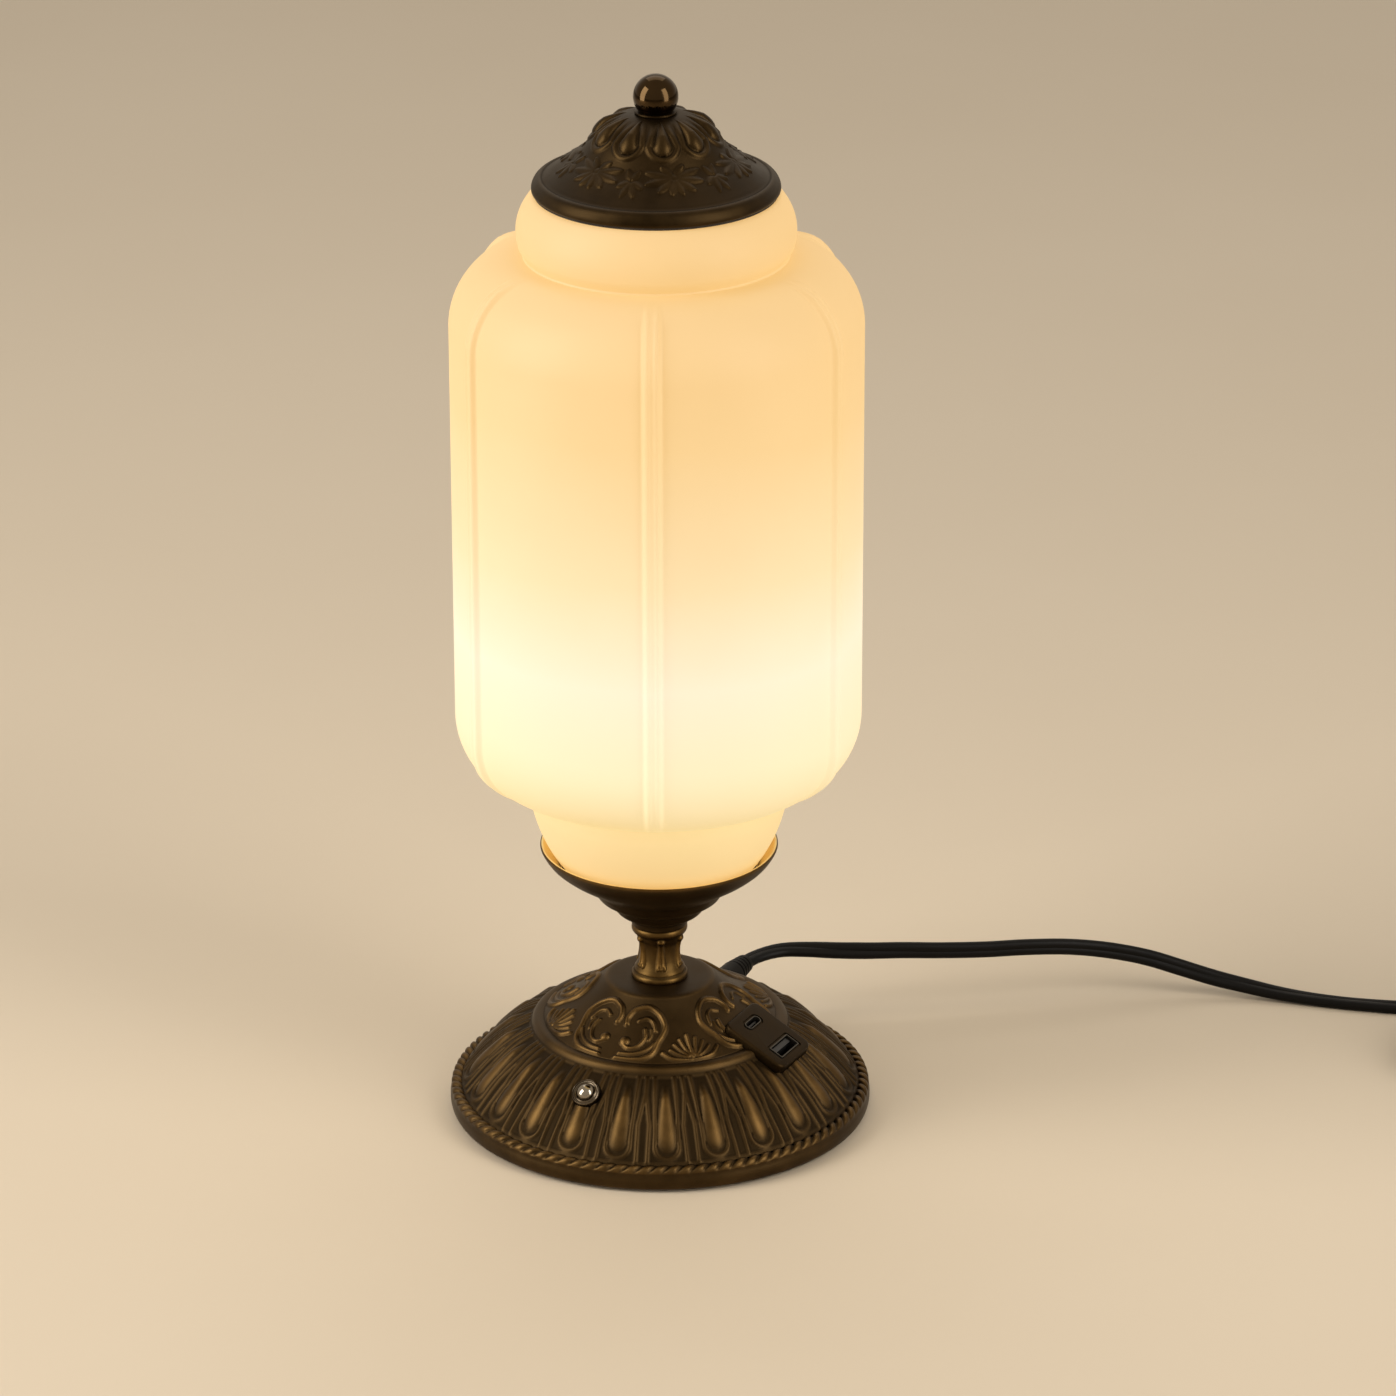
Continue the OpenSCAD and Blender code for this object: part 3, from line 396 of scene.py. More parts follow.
fill(patina, result, {"Colour": worn, "Roughness": dull, "Height": grain})
GRAIN_DEPTH = 0.2 * MM


def new_material(name):
    """A material, with its node tree and its surface node."""
    made = bpy.data.materials.new(name)
    made.use_nodes = True
    return made, made.node_tree, made.node_tree.nodes["Principled BSDF"]


def coated(name, group, bump, **looks):
    """A material on one of the shared groups; looks that the group lacks go to the surface."""
    made, tree, surface = new_material(name)
    coat = put(tree, "ShaderNodeGroup", node_tree=group)
    for label, look in looks.items():
        label = label.replace("_", " ")
        taker = coat if label in coat.inputs else surface
        taker.inputs[label].default_value = tint(*look) if isinstance(look, tuple) else look
    if "Relief" in coat.inputs:
        relief = put(tree, "ShaderNodeAttribute", attribute_name="relief")
        tree.links.new(relief.outputs["Fac"], coat.inputs["Relief"])
    grain = put(tree, "ShaderNodeBump", {"Strength": bump, "Distance": GRAIN_DEPTH,
                                         "Height": coat.outputs["Height"]})
    fill(tree, surface, {"Base Color": coat.outputs["Colour"], "Normal": grain.outputs[0],
                         "Roughness": coat.outputs["Roughness"]})
    return made


def dress(piece, made):
    """Give a piece, or a carried-over solid, one material all over."""
    piece.data.materials.clear()
    piece.data.materials.append(made)


def fit(piece, made, body, slot, *stands_for, edge=40):
    """Smooth a piece up to an edge angle, dress it, hang it on its body and hide the parts it
    stands for.
    """
    select_only(piece)
    bpy.ops.object.shade_smooth_by_angle(angle=math.radians(edge))
    dress(piece, made)
    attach(piece, body)
    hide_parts(*stands_for)


antique_bronze = coated(
    "antique_bronze", patina, bump=0.12, Crest=(98, 75, 42), Field=(60, 46, 27),
    Recess=(38, 29, 17), Blotch=70.0, Gloss=0.46, Metallic=1.0)
fit(base_skirt, antique_bronze, "root", "antique_bronze", "base_shell", edge=CAST_EDGE)

# Rim of the base: the plain band of the same casting that stands on the table, with the notches
# of a twisted rope over its upper edge.
ROPE_LUMPS, ROPE_LEAN, ROPE_FROM, ROPE_POINTS = 96, 2.2, 140, 17
RIM_COLUMNS = 1152
rope_turn = np.linspace(ROPE_FROM, 0, ROPE_POINTS)
rope_line = round_arc(72.5, 7.3, 2.2, ROPE_FROM, 0, ROPE_POINTS)
rim_band = [(74.65, 6.6), (74.85, 5.8), (75.0, 4.8), (75.0, 3.8), (74.9, 2.8), (74.7, 2.0),
            (74.3, 1.3), (73.8, 1.0)]
rim_hollow = [(71.7, 1.0), (71.2, 1.4), (71.2, 4.6), (68.2, 4.6), (68.2, 7.6), (70.6, 8.4)]
rim_skin = rope_line + rim_band
rim_section = rim_skin + rim_hollow + rope_line[:1]


def rope_relief(place, azimuth):
    psi = rope_turn[np.minimum(place, ROPE_POINTS - 1)]
    held = ramp_up(psi, 0, 50) * (place < ROPE_POINTS)
    lump = 0.5 + 0.5 * np.cos(np.radians(ROPE_LUMPS * azimuth - ROPE_LEAN * psi))
    return held * (0.24 * lump - 0.8 * (1 - lump) ** 4)


base_rim = lathe("base_rim", rim_section, RIM_COLUMNS)
emboss(base_rim, rim_section, 0, len(rim_skin), rope_relief)
mark_wear(base_rim, rim_skin)
fit(base_rim, antique_bronze, "root", "antique_bronze", "base_shell", edge=CAST_EDGE)

# Dome of the base: the upper part of the same casting, with four pairs of C-scrolls, a shell
# fan between the pairs, and a plain flat on which the stem stands.
DOME_PAIRS = 4
DOME_COLUMNS = 720
dome_flat = [(5.2, 49.5), (10.5, 49.5), (15.0, 49.5), (17.0, 49.5), (18.0, 49.45), (18.7, 49.32),
             (19.2, 49.1), (19.6, 48.8)]
dome_field = bow((19.9, 48.5), (27.9, 41.8), (42.1, 33.5), 88, 0.0, 0.965)
dome_under = [(41.35, 33.93), (41.35, 29.6)] + bow((41.0, 29.3), (26.7, 39.0), (17.5, 46.5), 8)
dome_under += [(5.2, 46.5), (5.2, 49.5)]
dome_skin = dome_flat + dome_field
dome_section = dome_skin + dome_under
FIELD_START = 1.0
field_down = FIELD_START + lengths(dome_field)
field_radius = np.array(dome_field)[:, 0]
SCROLL_LINES = [
    ([(3.9, 11.5), (3.0, 9.4), (5.4, 6.3), (11.1, 4.5), (18.5, 3.9), (25.2, 5.4), (30.2, 8.3),
      (31.8, 11.5), (29.7, 15.0), (26.6, 18.3), (25.6, 20.4), (23.6, 22.8), (19.5, 24.8),
      (13.0, 25.9), (5.0, 26.1)], 1.2, 1.0),
    ([(6.0, 23.7), (14.2, 23.2), (20.4, 21.3), (24.6, 18.6)], 0.85, 0.65),
    ([(6.8, 20.0), (9.7, 21.1), (14.0, 20.5), (17.2, 18.3), (18.9, 15.6), (18.0, 13.0)], 0.9, 0.8),
    ([(12.4, 9.6), (18.6, 8.4), (23.6, 10.2), (25.2, 13.4)], 0.85, 0.6),
    ([(20.8, 17.4), (22.6, 15.0), (22.2, 12.8)], 0.65, 0.45)]
FAN_LINES = [
    ([(0.0, 15.8), (0.0, 20.5), (0.0, 25.0)], 0.95, 0.85),
    ([(4.9, 17.2), (3.2, 20.5), (1.2, 24.2)], 0.85, 0.7),
    ([(8.6, 19.2), (5.4, 22.0), (2.0, 24.6)], 0.8, 0.7),
    ([(11.2, 21.4), (7.4, 23.3), (2.6, 25.0)], 0.8, 0.65),
    ([(15.4, 22.6), (12.0, 24.6), (6.5, 25.9), (0.8, 26.4)], 1.0, 0.9)]
CURL_AT, CURL_SIZE, CURL_RISE = (6.6, 18.6), 1.9, 1.1


def eased(points, step, sized=None):
    """A smooth line through points, cut to short steps measured on its first few numbers."""
    points = np.array(points, float)
    space = np.linalg.norm(np.diff(points[:, :sized], axis=0), axis=1)[:, None].clip(1e-9)
    slope = np.diff(points, axis=0) / space
    middle = (slope[1:] * space[:-1] + slope[:-1] * space[1:]) / (space[1:] + space[:-1])
    lean = np.vstack([slope[:1], middle, slope[-1:]])
    line = []
    for i, gap in enumerate(space[:, 0]):
        count = max(1, int(math.ceil(gap / step)))
        t = (np.arange(count) / count)[:, None]
        start, end = points[i], points[i + 1]
        line.append((2 * t ** 3 - 3 * t ** 2 + 1) * start + (3 * t ** 2 - 2 * t ** 3) * end
                    + gap * ((t ** 3 - 2 * t ** 2 + t) * lean[i] + (t ** 3 - t ** 2) * lean[i + 1]))
    return np.vstack(line + [points[-1:]])


def line_gap(line, degrees, down, radius):
    """How far each place on the field is from a drawn line, in millimetres."""
    wide = np.radians(1.0) * radius
    best = np.full(len(degrees), 1e9)
    for a, b in zip(line, line[1:]):
        run = np.stack([(b[0] - a[0]) * wide, np.full(len(wide), b[1] - a[1])])
        off = np.stack([(degrees - a[0]) * wide, down - a[1]])
        share = np.clip((run * off).sum(0) / (run * run).sum(0).clip(1e-9), 0, 1)
        best = np.minimum(best, np.hypot(*(off - share * run)))
    return best


def drawn(lines, degrees, down, radius):
    """The relief of several drawn lines together."""
    height = np.zeros(len(degrees))
    for points, half, rise in lines:
        gap = line_gap(eased(points, 1.2), degrees, down, radius)
        height = np.maximum(height, ridge(gap, half, rise))
    return height


def dot(across, along, size, rise):
    """A rounded bump."""
    return rise * np.sqrt(np.clip(1 - (np.hypot(across, along) / size) ** 2, 0, None))


def dome_relief(place, azimuth):
    down, radius = field_down[place], field_radius[place]
    side = np.abs(off_middle(azimuth, FRONT, DOME_PAIRS)) * 360 / DOME_PAIRS
    scroll = drawn(SCROLL_LINES, side, down, radius)
    curl = dot(np.radians(side - CURL_AT[0]) * radius, down - CURL_AT[1], CURL_SIZE, CURL_RISE)
    fan = drawn(FAN_LINES, 180 / DOME_PAIRS - side, down, radius)
    return np.maximum.reduce([scroll, curl, fan]) * ramp_down(down, field_down[-1], 0.9)


base_dome = lathe("base_dome", dome_section, DOME_COLUMNS)
emboss(base_dome, dome_section, len(dome_flat), len(dome_skin), dome_relief)
cut(base_dome, port_window())
mark_wear(base_dome, dome_skin)
fit(base_dome, antique_bronze, "root", "antique_bronze", "base_shell", edge=CAST_EDGE)

# Underside and hidden pieces: a steel plate on four countersunk screws, with a foam pad glued
# under it; pipe, washer, nuts and screws are steel, the saddle and the holder's shell are pressed
# brass, the power module is plastic, and felt rings lie under the glass and under the cap.
handled, given, result = new_group("handled_metal", [
    ("Tone", GREY), ("Tarnish", GREY), ("Stain", 0.35), ("Blotch", 120.0), ("Gloss", 0.25)])
cloud = noise(handled, given["Blotch"], 5.0, 0.6)
hair = noise(handled, 900.0, 2.0, 0.5, (1.0, 1.0, 0.06))
stain = sum_of(handled, spread(handled, cloud, 0.42, 0.72), given["Stain"], "MULTIPLY")
tarnished = blend(handled, stain, given["Tone"], given["Tarnish"])
dull = sum_of(handled, given["Gloss"], spread(handled, cloud, 0.3, 0.7, -0.04, 0.08))
dull = sum_of(handled, dull, spread(handled, hair, 0.4, 0.7, 0.0, 0.05))
fill(handled, result, {"Colour": tarnished, "Roughness": dull, "Height": hair})
steel = coated("steel", handled, bump=0.05, Tone=(176, 178, 180), Tarnish=(120, 112, 100),
               Metallic=1.0)
dark_steel = coated("dark_steel", handled, bump=0.05, Tone=(84, 80, 74), Tarnish=(56, 52, 46),
                    Gloss=0.4, Metallic=1.0)
brass = coated("brass", handled, bump=0.05, Tone=(186, 146, 76), Tarnish=(112, 76, 34), Stain=0.6,
               Gloss=0.3, Metallic=1.0)

moulded, given, result = new_group("moulded", [
    ("Tone", GREY), ("Shadow", GREY), ("Grain", 900.0), ("Gloss", 0.45)])
cloud = noise(moulded, 70.0, 4.0, 0.6)
pebble = noise(moulded, given["Grain"], 2.0, 0.45)
cloudy = blend(moulded, spread(moulded, cloud, 0.35, 0.75), given["Tone"], given["Shadow"])
dull = sum_of(moulded, given["Gloss"], spread(moulded, cloud, 0.3, 0.7, -0.05, 0.07))
dull = sum_of(moulded, dull, spread(moulded, pebble, 0.3, 0.7, -0.03, 0.03))
fill(moulded, result, {"Colour": cloudy, "Roughness": dull, "Height": pebble})
black_plastic = coated("black_plastic", moulded, bump=0.15, Tone=(30, 29, 29), Shadow=(20, 19, 19))
foam = coated("foam", moulded, bump=0.5, Tone=(38, 36, 35), Shadow=(24, 23, 22), Grain=2600.0,
              Gloss=0.85)
felt = coated("felt", moulded, bump=0.6, Tone=(46, 40, 34), Shadow=(30, 26, 22), Grain=3200.0,
              Gloss=0.9)
board = coated("board", moulded, bump=0.1, Tone=(34, 92, 52), Shadow=(24, 66, 40))
white_plastic = coated("white_plastic", moulded, bump=0.08, Tone=(226, 222, 212),
                       Shadow=(208, 203, 192))
for names, made in ((("base_plate", "plate_screws", "base_washer", "base_nut", "threaded_pipe",
                      "cup_nut", "button_nut", "bulb_contact"), steel),
                    (("usb_a_shell", "usb_c_shell"), dark_steel),
                    (("harp_saddle", "lampholder_shell", "lampholder_contact"), brass),
                    (("driver_module", "usb_a_tongue", "usb_c_tongue"), black_plastic),
                    (("usb_board",), board), (("foam_pad",), foam),
                    (("cup_gasket", "cap_gasket"), felt)):
    for name in names:
        dress(nodes[name], made)

# Push button: a ring of chrome let into the front of the skirt, toned dark as a painted dark
# reflection, with a domed bright chrome cap that slides in it and a nut behind.
chrome = coated("chrome", handled, bump=0.02, Tone=(150, 143, 132), Tarnish=(108, 101, 90),
                Gloss=0.05, Metallic=1.0)
# The ring's dark tone is a painted dark reflection of the room round it, not a finish of its own.
dark_reflection_chrome = coated("dark_reflection_chrome", handled, bump=0.02, Tone=(98, 88, 74),
                       Tarnish=(66, 57, 46), Stain=0.5, Gloss=0.16, Metallic=1.0)
ring_section = [(3.24, 0.95), (3.4, 1.2), (3.7, 1.3), (3.95, 1.12), (4.15, 0.9), (4.45, 0.92),
                (4.6, 1.2), (4.8, 1.4), (5.0, 1.25), (5.15, 0.8), (5.2, 0.2), (5.2, -0.88),
                (4.0, -0.88), (4.0, -15.0), (3.24, -15.0), (3.24, 0.95)]
button_ring = move_to(lathe("button_ring", ring_section, FINE_COLUMNS), BUTTON_PLACE)
press_section = [(0.0, 3.4), (0.6, 3.37), (1.2, 3.26), (1.75, 3.05), (2.2, 2.75), (2.6, 2.35),
                 (2.88, 1.9), (3.04, 1.4), (3.1, 0.9), (3.1, -5.5), (2.9, -5.8), (0.0, -5.8)]
button_dome = move_to(lathe("button_dome", press_section, FINE_COLUMNS), BUTTON_PLACE)
fit(button_ring, dark_reflection_chrome, "root", "chrome", "button_body")
fit(button_dome, chrome, "button", "chrome", "button_cap")

# Charging ports: a cast housing let into the side of the base and browned darker, partly its own
# darker finish and partly painted shade where it sits, with one window for each port; the folded
# steel shells and their tongues sit inside it.
BLOCK_EDGE = 35
port_housing = rounded_block("port_housing", 23, 26, 3, -13, 0, 0.9)
cut(port_housing, rounded_block("hollow", 19, 22, 1.4, -14, -2))
for width, height, corner, up in ((13.3, 5.9, 0.5, -7), (9.2, 3.5, 1.7, 7)):
    window = rounded_block("window", width, height, corner, -4, 2)
    cut(port_housing, move_to(window, shift(0, up, 0)))
    flare = rounded_block("flare", width + 1.5, height + 1.5, corner + 0.7, -0.45, 2)
    cut(port_housing, move_to(flare, shift(0, up, 0)))
move_to(port_housing, PORT_PLACE)
dark_bronze = coated(
    "dark_bronze", patina, bump=0.2, Crest=(60, 46, 26), Field=(45, 34, 19), Recess=(32, 24, 14),
    Blotch=90.0, Gloss=0.46, Metallic=1.0)
# The darker bronze on the housing also stands in for the shade it sits in.
fit(port_housing, dark_bronze, "root", "antique_bronze", "usb_housing", edge=BLOCK_EDGE)

# Stem: a turned and chased brass spindle threaded on the pipe, with a bead at its foot, a waist
# with six hanging leaves, each under a small knob, and a collar below the cup.
STEM_LEAVES, LEAVES_FROM, WAIST_R, STEM_COLUMNS = 6, -58, 7.4, 240
stem_skin = eased([
    (8.9, 70.0), (9.6, 69.7), (9.9, 69.0), (9.8, 67.8), (9.4, 67.1), (8.8, 66.7), (8.5, 66.3),
    (8.0, 65.0), (7.35, 63.2), (7.05, 61.2), (7.0, 59.6), (7.1, 58.0), (7.4, 56.2), (7.9, 54.8),
    (8.5, 53.8), (8.9, 53.1), (9.1, 52.5), (9.1, 52.1), (9.3, 51.8), (9.8, 51.3), (10.0, 50.7),
    (10.0, 49.9), (9.8, 49.5)], 0.32).tolist()
stem_section = stem_skin + [(5.2, 49.5), (5.2, 70.0), (8.9, 70.0)]
stem_height = np.array(stem_skin)[:, 1]


def leaf_relief(place, azimuth):
    z = stem_height[place]
    spacing = math.tau * WAIST_R / STEM_LEAVES
    across = np.abs(off_middle(azimuth, LEAVES_FROM, STEM_LEAVES)) * spacing
    blade = ramp_up(z, 54.2, 1.5) * ramp_down(z, 66.2, 2.0)
    half = 0.9 + 1.1 * ramp_down(z, 66.0, 9.0)
    leaf = (ridge(across, half, 0.95) - ridge(across, 0.3, 0.4)) * blade
    knob = dot(across, z - 65.4, 1.3, 1.1)
    toes = [dot(across - side, (z - 55.0) / 1.5, 0.62, 0.75) for side in (0.0, 1.15)]
    return np.maximum.reduce([leaf, knob, *toes])


stem = lathe("stem_spindle", stem_section, STEM_COLUMNS)
emboss(stem, stem_section, 0, len(stem_skin), leaf_relief)
mark_wear(stem, stem_skin)
rubbed_brass = coated(
    "rubbed_brass", patina, bump=0.08, Crest=(106, 81, 43), Field=(74, 56, 29),
    Recess=(44, 33, 17), Blotch=160.0, Gloss=0.42, Metallic=1.0)
fit(stem, rubbed_brass, "root", "brass", "stem", edge=CAST_EDGE)

# Cup: spun brass in three steps, browned outside and bare brass inside, clamped by a nut; its level
# seat carries a felt ring and the glass. The inside brass is made very pale, partly as painted glow
# from the lit glass above.
CUP_COLUMNS, CUP_LIP = 192, 41.2
cup_skin = eased([
    (40.6, 100.7), (40.9, 101.0), (41.5, 101.0), (41.9, 100.7), (41.8, 100.0), (41.2, 98.8),
    (39.3, 96.0), (35.7, 92.7), (30.5, 89.1), (26.0, 86.3), (24.6, 85.3), (23.9, 84.6),
    (23.2, 83.4), (22.5, 82.4), (21.6, 81.1), (20.6, 80.3), (18.6, 79.2), (17.2, 78.3),
    (16.5, 77.4), (15.9, 76.3), (15.0, 75.2), (13.4, 74.1), (11.8, 73.3), (10.7, 72.4),
    (10.3, 71.4), (10.0, 70.4), (9.8, 70.0)], 0.7).tolist()
cup_inside = [(5.2, 70.0), (5.2, 74.5), (12.0, 74.5), (13.4, 78.0), (15.2, 81.0), (20.0, 84.6),
              (25.4, 89.9), (27.2, 93.5), (34.9, 93.5), (36.2, 95.1), (37.5, 96.6), (39.7, 99.2),
              (40.6, 100.7)]
cup = lathe("cup_bowl", cup_skin + cup_inside, CUP_COLUMNS)
mark_wear(cup, cup_skin)
fit(cup, antique_bronze, "root", "brass", "cup")
glow_lit_brass = coated("glow_lit_brass", handled, bump=0.04, Tone=(246, 224, 166),
                      Tarnish=(220, 186, 122), Stain=0.5, Gloss=0.5, Metallic=0.85)
# Faces that look in or up, towards the lit glass, take the pale brass; its paleness is partly
# painted glow from the glass.
cup.data.materials.append(glow_lit_brass)
for face in cup.data.polygons:
    middle, lean = face.center / MM, face.normal
    looks_in = lean.x * middle.x + lean.y * middle.y < 0
    if looks_in or (lean.z > 0.9 and math.hypot(middle.x, middle.y) < CUP_LIP):
        face.material_index = 1

# Harp: a brass wire from ear to ear of the saddle over the bulb, with a boss at its top that
# carries the threaded stud for the ball.
HARP_HALF, HARP_FOOT, HARP_BEND, HARP_TOP, WIRE = 26.5, 94.0, 265.3, 322.3, 1.6


def tube(name, line, outline, turned_up=(0, 0, 1)):
    """A tube along places of [x, y, z, roll]; a roll of 0 lays the outline's wide side level."""
    line, outline = np.array(line, float), np.array(outline, float)
    run = np.gradient(line[:, :3], axis=0)
    run /= np.linalg.norm(run, axis=1)[:, None]
    level = np.cross(turned_up, run)
    level /= np.linalg.norm(level, axis=1)[:, None].clip(1e-9)
    up = np.cross(run, level)
    roll = np.radians(line[:, 3])[:, None]
    wide = np.cos(roll) * level + np.sin(roll) * up
    thin = np.cross(run, wide)
    rings = (line[:, None, :3] + outline[None, :, :1] * wide[:, None]
             + outline[None, :, 1:] * thin[:, None])
    count, around = rings.shape[:2]
    at = np.arange(count - 1)[:, None] * around
    k, after = np.arange(around)[None], (np.arange(around)[None] + 1) % around
    sides = np.stack([at + k, at + after, at + after + around, at + k + around], -1).reshape(-1, 4)
    last = (count - 1) * around
    faces = sides.tolist() + [list(range(around))[::-1], list(range(last, last + around))]
    mesh = bpy.data.meshes.new(name)
    mesh.from_pydata((rings.reshape(-1, 3) * MM).tolist(), [], faces)
    piece = bpy.data.objects.new(name, mesh)
    bpy.context.scene.collection.objects.link(piece)
    select_only(piece)
    bpy.ops.object.mode_set(mode="EDIT")
    bpy.ops.mesh.select_all(action="SELECT")
    bpy.ops.mesh.normals_make_consistent(inside=False)
    bpy.ops.object.mode_set(mode="OBJECT")
    return piece


def round_outline(radius, count):
    return round_arc(0, 0, radius, 0, 360, count + 1)[:-1]


def repeated(points, count, pitch):
    """A few points of a section set again and again, each time a pitch lower."""
    return [(r, z - k * pitch) for k in range(count) for r, z in points]


HARP_HALFWAY, HARP_STEP = 180.0, 4
wire_arch = [(HARP_HALF * math.cos(math.radians(a)), 0,
              HARP_BEND + (HARP_TOP - HARP_BEND) * math.sin(math.radians(a)), 0)
             for a in range(0, 181, HARP_STEP)]
wire_line = [(HARP_HALF, 0, HARP_FOOT, 0), (HARP_HALF, 0, HARP_HALFWAY, 0)] + wire_arch
wire_line += [(-HARP_HALF, 0, HARP_HALFWAY, 0), (-HARP_HALF, 0, HARP_FOOT, 0)]
harp_wire = tube("harp_wire", wire_line, round_outline(WIRE, 16), (0, 1, 0))
boss_section = [(0, 326.3), (5.3, 326.3), (6, 325.6), (6, 319), (5.3, 318.3), (0, 318.3)]
cut(harp_wire, lathe("boss", boss_section, SMALL_COLUMNS), "UNION")
STUD_THREADS, STUD_PITCH, STUD_COLUMNS = 45, 1, 36
stud_section = [(0, 376.5), (2.3, 376.5)]
stud_section += repeated([(2.95, 375.9), (2.95, 375.6), (2.6, 375.25)], STUD_THREADS, STUD_PITCH)
stud_section += [(3.0, 330.2), (3.0, 329.3), (4.4, 329.3), (4.6, 329.1), (4.6, 326.4), (0, 326.4)]
harp_stud = lathe("harp_screw", stud_section, STUD_COLUMNS)
fit(harp_wire, brass, "root", "brass", "harp")
fit(harp_stud, brass, "root", "brass", "harp_stud")

# Lamp holder: a cream moulded body of the E27 size with screw ribs round it for a ring, on the
# end of the pipe; the brass screw shell and the middle contact sit in it.
cream_plastic = coated("cream_plastic", moulded, bump=0.08, Tone=(222, 208, 178),
                       Shadow=(204, 188, 156))
HOLDER_RIBS, HOLDER_PITCH = 9, 2.4
holder_section = [(14.4, 126.6), (14.8, 127.0), (18.2, 127.0), (18.9, 126.7), (19.2, 126.0)]
holder_section += repeated([(19.45, 124.6), (19.45, 124.0), (18.9, 123.2)], HOLDER_RIBS,
                           HOLDER_PITCH)
holder_section += [(19.4, 102.6), (19.5, 102.0), (19.5, 97.2), (19.2, 96.6), (16.0, 92.0),
                   (11.6, 87.2), (11.2, 86.0), (11.0, 81.0), (5.2, 81.0), (5.2, 90.0), (0, 90.0),
                   (0, 95.5), (14.4, 95.5), (14.4, 126.6)]
lamp_holder = lathe("lamp_holder", holder_section, FINE_COLUMNS)
fit(lamp_holder, cream_plastic, "root", "cream_plastic", "lampholder_body")

# Bulb: a lit LED globe with a rolled screw cap, a white body and an opal dome; it turns out of
# the holder by hand.
BULB_THREADS, BULB_PITCH, BULB_COLUMNS = 5, 3.6, 72
GLOBE_R, GLOBE_INSIDE, GLOBE_SEAT, GLOBE_LOW = 22.5, 21.3, 17.4, 139.6
screw_section = [(0, 123.6), (13.0, 123.6), (13.4, 123.2)]
screw_section += repeated([(13.38, 121.4), (12.7, 120.2), (12.7, 119.4), (13.38, 118.2)],
                          BULB_THREADS, BULB_PITCH)
screw_section += [(13.2, 101.4), (12.6, 99.5), (0, 99.5)]
bulb_screw = lathe("bulb_screw", screw_section, BULB_COLUMNS)
body_section = [(0, GLOBE_LOW), (17.0, GLOBE_LOW), (GLOBE_SEAT, 139.3), (17.2, 138.4),
                (15.6, 132.6), (14.2, 128.6), (13.8, 127.4), (13.8, 124.1), (13.4, 123.65),
                (0, 123.65)]
bulb_neck = lathe("bulb_neck", body_section, BULB_COLUMNS)
globe_mid = GLOBE_LOW + math.sqrt(GLOBE_R ** 2 - GLOBE_SEAT ** 2)
globe_foot = math.degrees(math.atan2(GLOBE_LOW + 0.05 - globe_mid, GLOBE_SEAT))
globe_section = round_arc(0, globe_mid, GLOBE_R, 90, globe_foot, 30)
globe_section += round_arc(0, globe_mid, GLOBE_INSIDE, globe_foot, 90, 16)
bulb_dome = lathe("bulb_dome", globe_section, BULB_COLUMNS)
opal_bulb = coated(
    "opal_bulb", moulded, bump=0.03, Tone=(236, 228, 208), Shadow=(228, 218, 194), Gloss=0.3,
    Emission_Color=(255, 226, 168), Emission_Strength=0.8)
fit(bulb_screw, steel, "bulb", "steel", "bulb_cap")
fit(bulb_neck, white_plastic, "bulb", "white_plastic", "bulb_body")
fit(bulb_dome, opal_bulb, "bulb", "opal_bulb", "bulb_globe")

# Glass: blown opal glass with a collar in the cup, two rounded shoulders, a straight barrel with
# six ribs and a collar under the cap. The bulb inside lights it, most of all beside the bulb.
GLASS_RIBS, RIB_FROM, RIB_RISE = 6, -63.5, 1.7
GLASS_WALL, GLASS_COLUMNS = 3.8, 432


def glass_line(inset):
    """The outside of the glass from its top to its foot, moved in by an inset."""
    line = bow((42.2 - inset, 340.3), (49.8 - inset, 332.3), (47.0 - inset, 322.3), 16)
    line += [(46.0 - inset, 320.7), (45.5 - inset, 319.7), (45.7 - inset, 319.1)]
    line += round_arc(46, 293.9, 25 - inset, 88, 0, 20)
    line += [(71 - inset, z) for z in np.linspace(282, 164, 12)]
    line += round_arc(46, 151.9, 25 - inset, 0, -88, 20)
    line += [(45.5 - inset, 126.6), (45.0 - inset, 125.6), (44.9 - inset, 123.8),
             (45.1 - inset, 121.2)]
    return line + bow((45.2 - inset, 119.0), (42.5 - inset, 105.0), (34.6 - inset, 95.0), 16)


glass_skin = [(41.2, 340.5)] + glass_line(0)
glass_section = glass_skin + [(33.9, 94.8), (31.4, 94.8)] + glass_line(GLASS_WALL)[::-1]
glass_section += [(39.4, 340.5), (41.2, 340.5)]
glass_height = np.array(glass_skin)[:, 1]
glass_radius = np.array(glass_skin)[:, 0]
opal_glass = lathe("opal_glass", glass_section, GLASS_COLUMNS)
spots, radius, azimuth = corners(opal_glass)
sector = (azimuth - RIB_FROM) * GLASS_RIBS / 360
share = sector - np.round(sector)
crowded = np.round(sector) + 0.2 * share + 0.8 * 4 * share ** 3
around = np.radians(RIB_FROM + crowded * 360 / GLASS_RIBS)
put_corners(opal_glass, np.column_stack([radius * np.cos(around), radius * np.sin(around),
                                         spots[:, 2]]))


def rib_relief(place, azimuth):
    turn = np.abs(off_middle(azimuth, RIB_FROM, GLASS_RIBS)) * math.tau / GLASS_RIBS
    across = turn * glass_radius[place]
    side = ramp_down(across, 3.7, 2.1)
    shape = side * side * (3 - 2 * side) - ridge(across, 1.1, 0.22)
    ends = ramp_up(glass_height[place], 127.6, 14) * ramp_down(glass_height[place], 318.4, 5)
    return RIB_RISE * shape * ends


